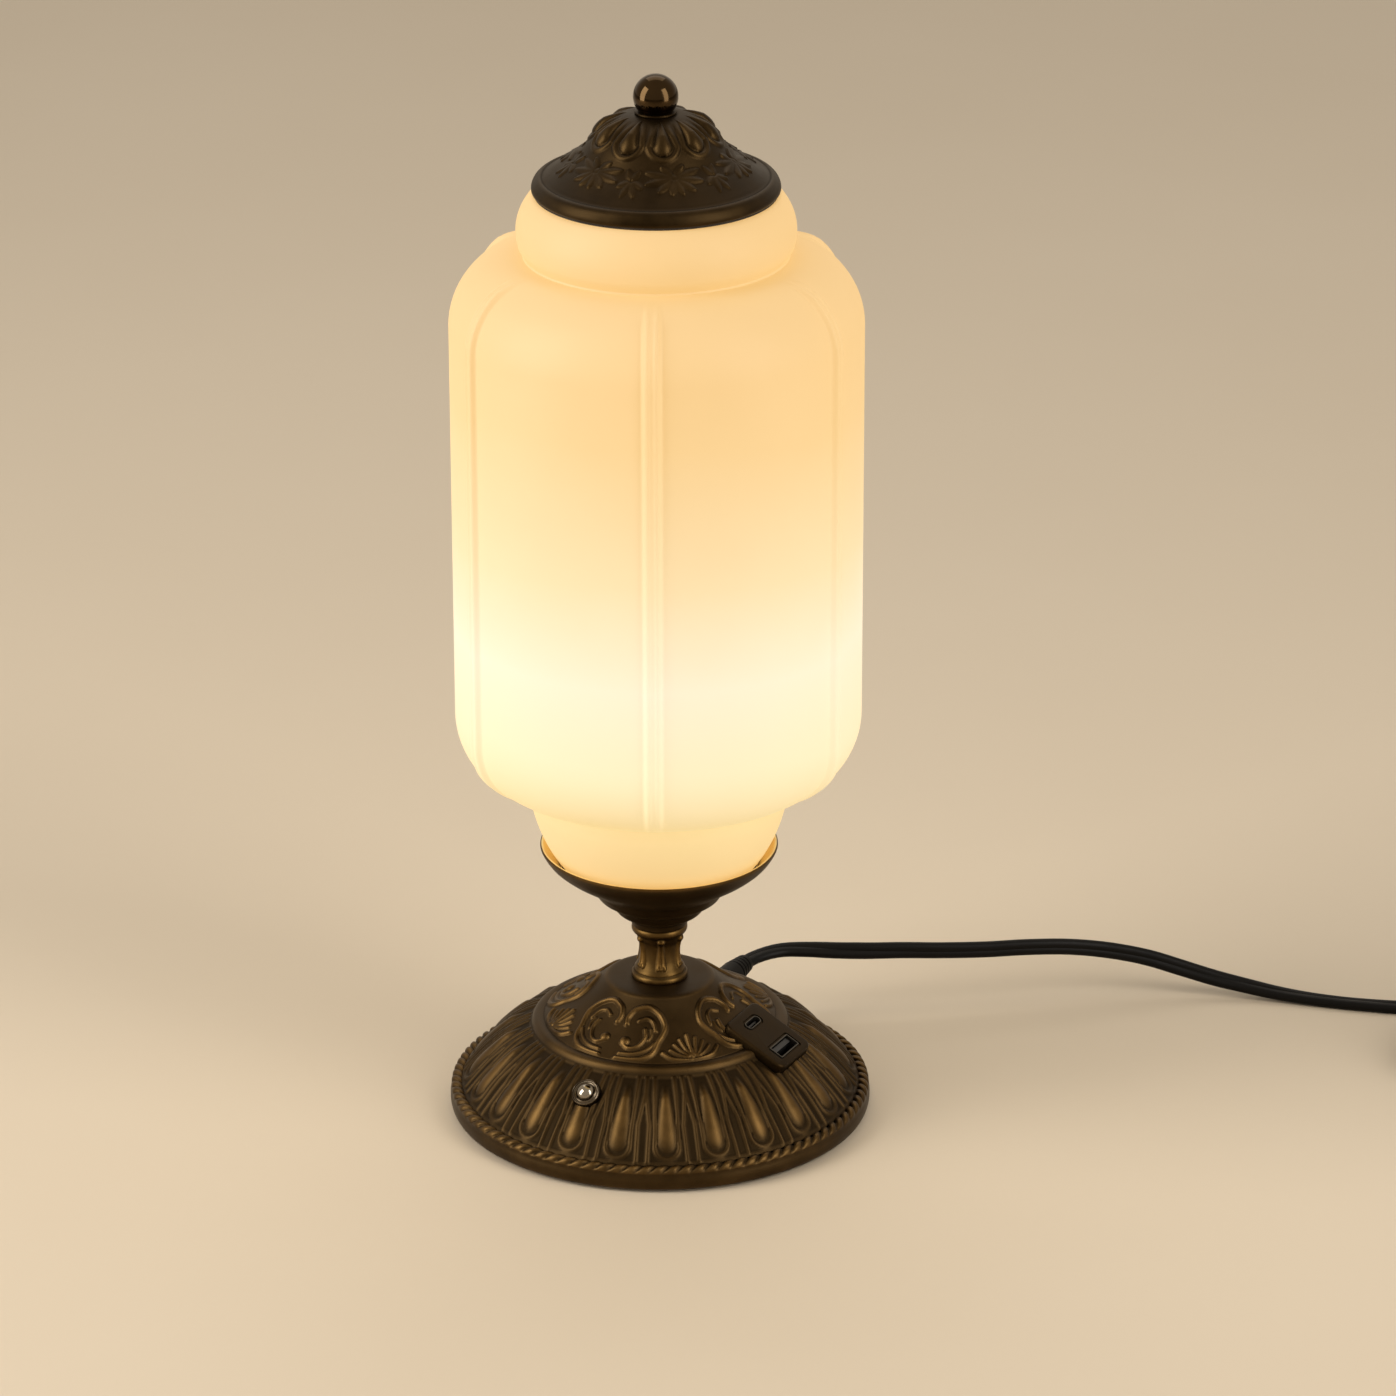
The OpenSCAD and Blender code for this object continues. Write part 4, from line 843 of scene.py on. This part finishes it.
emboss(opal_glass, glass_section, 0, len(glass_skin), rib_relief)
lit_glass, tree, surface = new_material("lit_opal_glass")
place = put(tree, "ShaderNodeTexCoord").outputs["Object"]
height = put(tree, "ShaderNodeSeparateXYZ", {0: place}).outputs["Z"]
swirl = noise(tree, 9.0, 3.0, 0.5)
seeds = noise(tree, 420.0, 2.0, 0.5)
level = sum_of(tree, spread(tree, height, 0.095, 0.3405),
               spread(tree, swirl, 0.3, 0.7, -0.02, 0.02))
glow = put(tree, "ShaderNodeValToRGB", {"Fac": level})
GLOW = [(0.0, (0.60, 0.37, 0.12)), (0.13, (0.68, 0.50, 0.21)), (0.24, (0.70, 0.60, 0.38)),
        (0.37, (0.70, 0.62, 0.47)), (0.52, (0.66, 0.49, 0.26)), (0.72, (0.61, 0.37, 0.12)),
        (0.88, (0.58, 0.33, 0.09)), (1.0, (0.57, 0.32, 0.08))]
stops = glow.color_ramp.elements
stops[0].color = GLOW[0][1] + (1.0,)
stops[1].color = GLOW[-1][1] + (1.0,)
for at, shade in GLOW[1:-1]:
    stops.new(at).color = shade + (1.0,)
milk = blend(tree, swirl, tint(160, 150, 128), tint(150, 139, 116))
wave = put(tree, "ShaderNodeBump", {"Strength": 0.04, "Distance": GRAIN_DEPTH, "Height": seeds})
fill(tree, surface, {
    "Base Color": milk, "Roughness": spread(tree, swirl, 0.3, 0.7, 0.5, 0.6),
    "Normal": wave.outputs[0], "Emission Color": glow.outputs["Color"], "Emission Strength": 1.0,
    "IOR": 1.5, "Specular IOR Level": 0.3})
fit(opal_glass, lit_glass, "shade", "opal_glass", "shade")

# Cap: a casting like the base but browned darker, with a rolled brim, six flowers on its flared
# field and ten drops round the crown; a lip below keeps it centred in the glass.
CAP_DROPS, DROP_RISE, CAP_FLOWERS, CAP_COLUMNS = 10, 1.8, 6, 600
DROPS_FROM, FLOWERS_FROM, FLOWER_MID, CROWN_R = -55, -109, 23.8, 9.0
PETALS = ((16, 7.6), (47, 9.0), (76, 10.6), (104, 9.6), (140, 6.0))
LEAVES = ((18, 7.2), (58, 5.4), (155, 5.0))
cap_skin = eased([
    (3.4, 368.5), (6.5, 368.5), (8.6, 368.48), (10.4, 368.1), (13.0, 367.0), (16.2, 365.1),
    (19.2, 362.7), (21.8, 359.9), (23.6, 357.5), (25.2, 355.4), (27.6, 353.5), (32.7, 350.1),
    (36.7, 347.4), (38.3, 346.4), (38.9, 346.2), (39.4, 346.35), (40.2, 346.1), (41.2, 345.3),
    (41.9, 344.2), (42.3, 342.7), (42.2, 341.8), (41.8, 341.3)], 0.42).tolist()
cap_hollow = [
    (37.8, 341.3), (37.8, 337.3), (35.6, 337.3), (35.6, 343.7), (31.9, 346.7), (26.2, 350.1),
    (22.6, 353.9), (20.8, 356.9), (18.2, 360.5), (15.0, 363.1), (11.0, 365.3), (8.0, 366.1),
    (3.4, 366.1), (3.4, 368.5)]
cap_section = cap_skin + cap_hollow
cap_radius = np.array(cap_skin)[:, 0]
cap_down = lengths(cap_skin)
cap_down = cap_down - cap_down[np.argmin(np.abs(cap_radius - CROWN_R))]


def petal(across, along, angle, start, end, half, rise):
    """A petal that grows broad from the middle of a flower."""
    lean = math.radians(angle)
    out = along * math.cos(lean) + across * math.sin(lean)
    side = across * math.cos(lean) - along * math.sin(lean)
    t = np.clip((out - start) / (end - start), 0, 1)
    width = half * np.sqrt(np.clip(np.sin(math.pi * t ** 0.75), 1e-4, 1))
    held = (out > start) & (out < end)
    return np.where(held, ridge(side, width, rise), 0)


def cap_relief(place, azimuth):
    down, radius = cap_down[place], cap_radius[place]
    across = np.abs(off_middle(azimuth, DROPS_FROM, CAP_DROPS)) * math.tau * radius / CAP_DROPS
    t = ramp_up(down, 1.0, 11.5).clip(0.001)
    half = (0.4 + 2.9 * t ** 1.2) * rounded_end(down, 12.0, 3.6, 1e-4)
    drop = DROP_RISE * np.clip(1 - (across / half) ** 2, 0, None) ** 0.7 * ramp_up(down, 0.8, 8)
    drop = drop * rounded_end(down, 10.0, 5.6)
    hem_at = 1.2 + 3.9 * t
    hem_gap = np.where(down < 12.0, across - hem_at, np.hypot(across, down - 12.0) - 5.1)
    hem = ridge(hem_gap, 1.3, 0.65) * ramp_up(down, 2, 6) * (down < 20)
    side = off_middle(azimuth, FLOWERS_FROM, CAP_FLOWERS) * math.tau * radius / CAP_FLOWERS
    along = down - FLOWER_MID
    flower = dot(side, along, 1.6, 0.5)
    for angle, reach in PETALS:
        flower = np.maximum(flower, petal(np.abs(side), along, angle, 1.2, reach, 1.8, 0.52))
    gap = math.tau * radius / CAP_FLOWERS / 2 - np.abs(side)
    for angle, reach in LEAVES:
        flower = np.maximum(flower, petal(gap, along - 1.6, angle, 0.6, reach, 1.5, 0.42))
    inside = ramp_up(down, 17.6, 1.4) * ramp_down(down, 36.0, 2.0)
    return np.maximum.reduce([drop, hem, flower * inside])


top_cap = lathe("cap_casting", cap_section, CAP_COLUMNS)
emboss(top_cap, cap_section, 0, len(cap_skin), cap_relief)
mark_wear(top_cap, cap_skin)
fit(top_cap, dark_bronze, "cap", "antique_bronze", "top_cap", edge=CAST_EDGE)

# Ball finial: a turned brass ball, polished and dark, drilled and tapped from below. It screws
# down on the stud and holds the cap and the glass, with a thin washer between.
BALL_R, BALL_SEAT, BALL_LOW, WASHER_COLUMNS = 7.7, 6.0, 369.5, 72
ball_mid = BALL_LOW + math.sqrt(BALL_R ** 2 - BALL_SEAT ** 2)
ball_foot = math.degrees(math.atan2(BALL_LOW - ball_mid, BALL_SEAT))
ball_section = round_arc(0, ball_mid, BALL_R, 90, ball_foot, 48)
ball_section += [(3.2, BALL_LOW), (3.2, 377.5), (0, 377.5)]
ball = lathe("finial_knob", ball_section, FINE_COLUMNS)
washer_section = [(3.3, 369.45), (6.8, 369.45), (7.1, 369.3), (7.2, 369.0), (7.1, 368.65),
                  (6.8, 368.52), (3.3, 368.52), (3.3, 369.45)]
washer = lathe("finial_ring", washer_section, WASHER_COLUMNS)
polished_bronze = coated("polished_bronze", handled, bump=0.01, Tone=(62, 48, 30),
                         Tarnish=(48, 36, 22), Stain=0.5, Gloss=0.04, Metallic=1.0)
fit(ball, polished_bronze, "finial", "polished_bronze", "finial_ball")
fit(washer, dark_bronze, "finial", "brass", "finial_washer")

# Lead inside the base: a round black lead in a plain sheath. It runs from the bush to the foot of
# the pipe and up through it to the lamp holder.
INNER_LEAD_R = 2.4
inner_line = eased([
    (0, 46, 26.5, 0), (0, 40, 26.5, 0), (0, 32, 25.5, 0), (0, 24, 23.5, 0), (0, 16, 21.5, 0),
    (0, 10, 21.1, 0), (0, 5, 22.5, 0), (0, 2, 26.0, 0), (0, 0.5, 30.5, 0), (0, 0, 37.0, 0),
    (0, 0, 80.0, 0), (0, 0, 90.0, 0)], 3.0, 3)
black_lead = coated("black_lead", moulded, bump=0.08, Tone=(14, 12, 10), Shadow=(9, 8, 7),
                    Grain=1400.0, Gloss=0.42, Specular_IOR_Level=0.1)
inner_lead = tube("inner_lead", inner_line, round_outline(INNER_LEAD_R, 14), (1, 0, 0))
fit(inner_lead, black_lead, "root", "black_lead", "lamp_lead")

# Bush: a black rubber bush in the back of the base, with a tapered, ringed sleeve that eases the
# lead's first bend.
BUSH_RINGS, BUSH_PITCH, BUSH_TAPER = 4, 2.1, 0.115
sleeve_section = [(0, 0.0), (3.0, 0.0), (3.4, -0.3)]
for ring in range(BUSH_RINGS):
    top = -0.9 - BUSH_PITCH * ring
    wide = 3.4 - BUSH_TAPER * top
    sleeve_section += [(wide, top), (wide + 0.08, top - 1.2), (wide - 0.35, top - 1.45),
                       (wide - 0.33, top - 1.9)]
sleeve_section += [(4.5, -9.5), (4.5, -20.2), (4.2, -20.5), (0, -20.5)]
lead_bush = lathe("lead_bush", sleeve_section, SMALL_COLUMNS)
move_to(lead_bush, LEAD_EXIT @ tip(-90, "X"))
fit(lead_bush, black_lead, "root", "black_lead", "cord_gland")

# Coil tie: a flat moulded nylon band in black. It is closed round all the turns at one side of
# the coil, and keeps them together until the lamp is set up.
COIL_MID, COIL_FROM, COIL_REACH, COIL_PITCH, COIL_TURNS = (268.5, 167.0), 108.0, 40.0, 4.3, 3.361
TIE_PLACE = shift(*COIL_MID, 0) @ tip(65, "Z") @ shift(32.275, 2.5, 7.7) @ tip(90, "X")
coil_tie = rounded_block("coil_strap", 21.4, 15.3, 2.2, 0.0, 5.0, 0.2)
cut(coil_tie, rounded_block("hollow", 19.9, 13.9, 1.6, -1.0, 6.0))
move_to(coil_tie, TIE_PLACE)
tie_plastic = coated("tie_plastic", moulded, bump=0.1, Tone=(40, 39, 38), Shadow=(26, 25, 25),
                     Gloss=0.35)
fit(coil_tie, tie_plastic, "root", "tie_plastic", "coil_tie", edge=BLOCK_EDGE)

# Plug: a flat plug of black plastic moulded on the end of the lead, with grooves for the fingers.
# Its two round steel pins have plastic sleeves at their roots.
COIL_END = 2 * COIL_TURNS + 0.5
tail_turn = math.radians(COIL_FROM - 360 * COIL_END)
tail_run = np.array([math.sin(tail_turn), -math.cos(tail_turn), 0])
tail_from = np.array([COIL_MID[0] + COIL_REACH * math.cos(tail_turn),
                      COIL_MID[1] + COIL_REACH * math.sin(tail_turn), 0])
PLUG_AXIS, TAIL_LENGTH = 6.9, 55
plug_at = tail_from + TAIL_LENGTH * tail_run
PLUG_PLACE = (shift(plug_at[0], plug_at[1], PLUG_AXIS)
              @ Matrix.Rotation(math.atan2(tail_run[1], tail_run[0]), 4, "Z"))


def outline_block(name, half, low, high, edge):
    """A flat block with rounded edges; half is the outline of its left side."""
    outline = [(x, -y) for x, y in half] + half[::-1]
    piece = ring_of(name, [(x, y, low) for x, y in outline], "NGON")
    bpy.ops.mesh.select_all(action="SELECT")
    bpy.ops.mesh.extrude_region_move(TRANSFORM_OT_translate={"value": (0, 0, (high - low) * MM)})
    bpy.ops.mesh.select_all(action="SELECT")
    bpy.ops.mesh.normals_make_consistent(inside=False)
    choose_edges(piece, lambda a, b: abs(a.z - b.z) < 0.01)
    bpy.ops.mesh.bevel(offset=edge * MM, segments=5, affect="EDGES")
    bpy.ops.object.mode_set(mode="OBJECT")
    return piece


PLUG_GROOVES, GROOVE_FROM, GROOVE_PITCH, GROOVE_AT = 4, 23.0, 2.4, 6.9
PIN_APART, PIN_FROM, PIN_COLUMNS = 9.3, 35.5, 32
half_plug = eased([(0.3, 4.4), (4.5, 4.6), (9.0, 5.5), (12.5, 8.2), (16.0, 11.6), (18.0, 12.7),
                   (20.0, 13.0)], 1.4).tolist() + [(35.0, 13.0), (PIN_FROM, 12.5)]
plug_body = outline_block("plug_moulding", half_plug, -5.2, 5.2, 2.4)
half_core = [(19.2, 10.2), (20.2, 11.0), (33.8, 11.7), (34.6, 11.0)]
cut(plug_body, outline_block("core", half_core, -6.85, 6.85, 1.2), "UNION")
for face in (-1, 1):
    for groove in range(PLUG_GROOVES):
        notch = rounded_block("notch", 0.9, 15.0, 0.4, -0.5, 0.5)
        along = GROOVE_FROM + GROOVE_PITCH * groove
        cut(plug_body, move_to(notch, shift(along, 0, face * GROOVE_AT)))
plug_pieces = [plug_body]
fit(move_to(plug_body, PLUG_PLACE), black_plastic, "root", "black_plastic", "plug_body")
pin_section = [(0, 19.0), (1.0, 18.9), (1.6, 18.4), (1.9, 17.5), (1.9, 10.1), (0, 10.1)]
pin_foot = [(0, 10.1), (1.8, 10.1), (2.0, 9.8), (2.0, -0.6), (0, -0.6)]
for side, letter in ((PIN_APART, "a"), (-PIN_APART, "b")):
    pin_place = PLUG_PLACE @ shift(PIN_FROM, side, 0) @ tip(90, "Y")
    pin = move_to(lathe("contact_pin_" + letter, pin_section, PIN_COLUMNS), pin_place)
    sleeve = move_to(lathe("pin_sleeve_" + letter, pin_foot, PIN_COLUMNS), pin_place)
    fit(pin, steel, "root", "steel", "plug_pin_" + letter)
    fit(sleeve, black_plastic, "root", "black_plastic", "plug_pin_" + letter)
    plug_pieces += [pin, sleeve]

# Mains lead: about 1.8 m of flat black twin lead, stiff enough to leave the base in a low arch.
# What the picture doesn't show of it is wound in two layers on the table, held by the tie.
LEAD_WIDE, LEAD_THIN = 6.2, 3.6
LEAD_ROUTE = [
    [0, 66.5, 26.5, 0], [0, 68, 26.5, 0], [2.5, 74.5, 27, 5], [7.5, 81.5, 27.2, 15],
    [15, 86.5, 27, 30], [24, 91.5, 26.5, 50], [34, 97.5, 26, 70], [45, 105, 25.5, 85],
    [57, 113.5, 24.5, 90], [70, 123.5, 23.5, 90], [82.5, 133.5, 23, 90], [95, 144, 21.5, 90],
    [107.5, 154, 18.5, 85], [119.5, 161.5, 15, 75], [130.5, 167, 11, 60], [141.5, 171.5, 7.5, 45],
    [152, 175.5, 5, 30], [163, 178.5, 3.2, 15], [174, 181, 2.3, 5], [185.5, 183.5, 2, 0],
    [197, 186.5, 2, 0], [208, 190, 2, 10], [219, 193.5, 2.6, 30], [229.5, 196.5, 3.4, 60],
    [240, 200, 4, 85], [250, 203, 4, 90]]
LEAD_TAIL = ((0, 1, 90), (8, 1, 90), (16, 1, 85), (24, 0.9, 65), (32, 0.6, 40), (40, 0.25, 15),
             (48, 0, 0), (TAIL_LENGTH, 0, 0))
COIL_LOW, COIL_STEP, LOOP_POINTS = 4.0, LEAD_WIDE + 0.6, 24


def coil_place(k):
    """A place in the coil after k turns: in on the table, up a layer, and out again on top."""
    climb = min(1.0, max(0.0, 2 * (k - COIL_TURNS)))
    if k <= COIL_TURNS:
        reach = COIL_REACH - COIL_PITCH * k
    elif k <= COIL_TURNS + 0.5:
        reach = COIL_REACH - COIL_PITCH * COIL_TURNS - 1.1 * math.sin(math.tau * (k - COIL_TURNS))
    else:
        reach = COIL_REACH - COIL_PITCH * (COIL_END - k)
    turn = math.radians(COIL_FROM - 360 * k)
    return [COIL_MID[0] + reach * math.cos(turn), COIL_MID[1] + reach * math.sin(turn),
            COIL_LOW + COIL_STEP * climb * climb * (3 - 2 * climb), 90]


coil_places = [coil_place(k / LOOP_POINTS) for k in range(int(COIL_END * LOOP_POINTS) + 1)]
tail_drop = coil_place(COIL_END)[2] - PLUG_AXIS
tail_places = [[*(tail_from[:2] + along * tail_run[:2]), PLUG_AXIS + share * tail_drop, roll]
               for along, share, roll in LEAD_TAIL]
lead_line = eased(LEAD_ROUTE + coil_places + tail_places, 3.6, 3)
lead_half = (LEAD_WIDE - LEAD_THIN) / 2
lead_r = LEAD_THIN / 2
lead_outline = round_arc(lead_half, 0, lead_r, -90, 90, 9)
lead_outline += [(0.5, lead_r - 0.06), (0, lead_r - 0.3), (-0.5, lead_r - 0.06)]
lead_outline += [(-x, -y) for x, y in lead_outline]
mains_lead = tube("mains_lead", lead_line, lead_outline)
fit(mains_lead, black_lead, "root", "black_lead", "cord", "cord_coil", edge=50)

# Stage: a wide pale floor under soft studio light from tall panels at the left and the right and
# a high one behind, with the camera where the photograph was taken.
bpy.ops.object.select_all(action="DESELECT")
bpy.ops.mesh.primitive_plane_add(size=16)
floor = bpy.context.object
floor.name = "floor"
floor_paint, tree, surface = new_material("floor_paint")
trowel = noise(tree, 2.2, 4.0, 0.55)
sand = blend(tree, trowel, tint(212, 196, 172), tint(204, 187, 162))
fill(tree, surface, {"Base Color": sand, "Roughness": 0.85})
dress(floor, floor_paint)
LEFT_OF_VIEW = Vector((-0.8829, -0.4695, 0))
TO_CAMERA = Vector((0.4695, -0.8829, 0))
LAMP_MIDDLE = Vector((0, 0, 0.18))


def panel(name, place, size, power):
    """A rectangular soft light that looks at the middle of the lamp."""
    lamp = bpy.data.lights.new(name, "AREA")
    lamp.shape = "RECTANGLE"
    lamp.size, lamp.size_y = size
    lamp.energy = power
    lamp.color = (1.0, 0.965, 0.92)
    light = bpy.data.objects.new(name, lamp)
    light.location = place
    light.rotation_euler = (LAMP_MIDDLE - place).to_track_quat("-Z", "Y").to_euler()
    bpy.context.scene.collection.objects.link(light)


PANEL_UP = Vector((0, 0, 0.75))
panel("left_panel", LEFT_OF_VIEW * 1.35 + TO_CAMERA * 0.45 + PANEL_UP, (0.75, 1.7), 27)
panel("right_panel", LEFT_OF_VIEW * -1.2 + TO_CAMERA * 0.85 + PANEL_UP, (0.65, 1.7), 20)
panel("high_panel", TO_CAMERA * -1.5 + Vector((0, 0, 2.4)), (2.4, 1.6), 16)
world = bpy.data.worlds.new("studio")
world.use_nodes = True
bpy.context.scene.world = world
tree = world.node_tree
room = tree.nodes["Background"]
fill(tree, room, {"Color": (0.93, 0.90, 0.85, 1.0), "Strength": 0.34})
wall = put(tree, "ShaderNodeBackground", {"Color": tint(214, 200, 180), "Strength": 1.0})
rays = put(tree, "ShaderNodeLightPath").outputs
straight = sum_of(tree, rays["Is Camera Ray"], rays["Is Glossy Ray"], "MAXIMUM")
straight = sum_of(tree, straight, rays["Is Transmission Ray"], "MAXIMUM")
seen = put(tree, "ShaderNodeMixShader", {0: straight, 1: room.outputs[0], 2: wall.outputs[0]})
fill(tree, tree.nodes["World Output"], {"Surface": seen.outputs[0]})
SENSOR, FOCAL_SHARE = 36, 6322.7 / 1396
camera_data = bpy.data.cameras.new("camera")
camera_data.sensor_width = SENSOR
camera_data.lens = SENSOR * FOCAL_SHARE
camera_data.clip_end = 50
camera = bpy.data.objects.new("camera", camera_data)
camera.location = (0.95826, -1.80224, 0.99675)
heading = Euler((math.radians(67.604), 0, math.radians(27.612))).to_matrix()
camera.rotation_euler = (heading @ Matrix.Rotation(math.radians(-0.113), 3, "Z")).to_euler()
bpy.context.scene.collection.objects.link(camera)
bpy.context.scene.camera = camera
bpy.context.scene.view_settings.view_transform = "Standard"
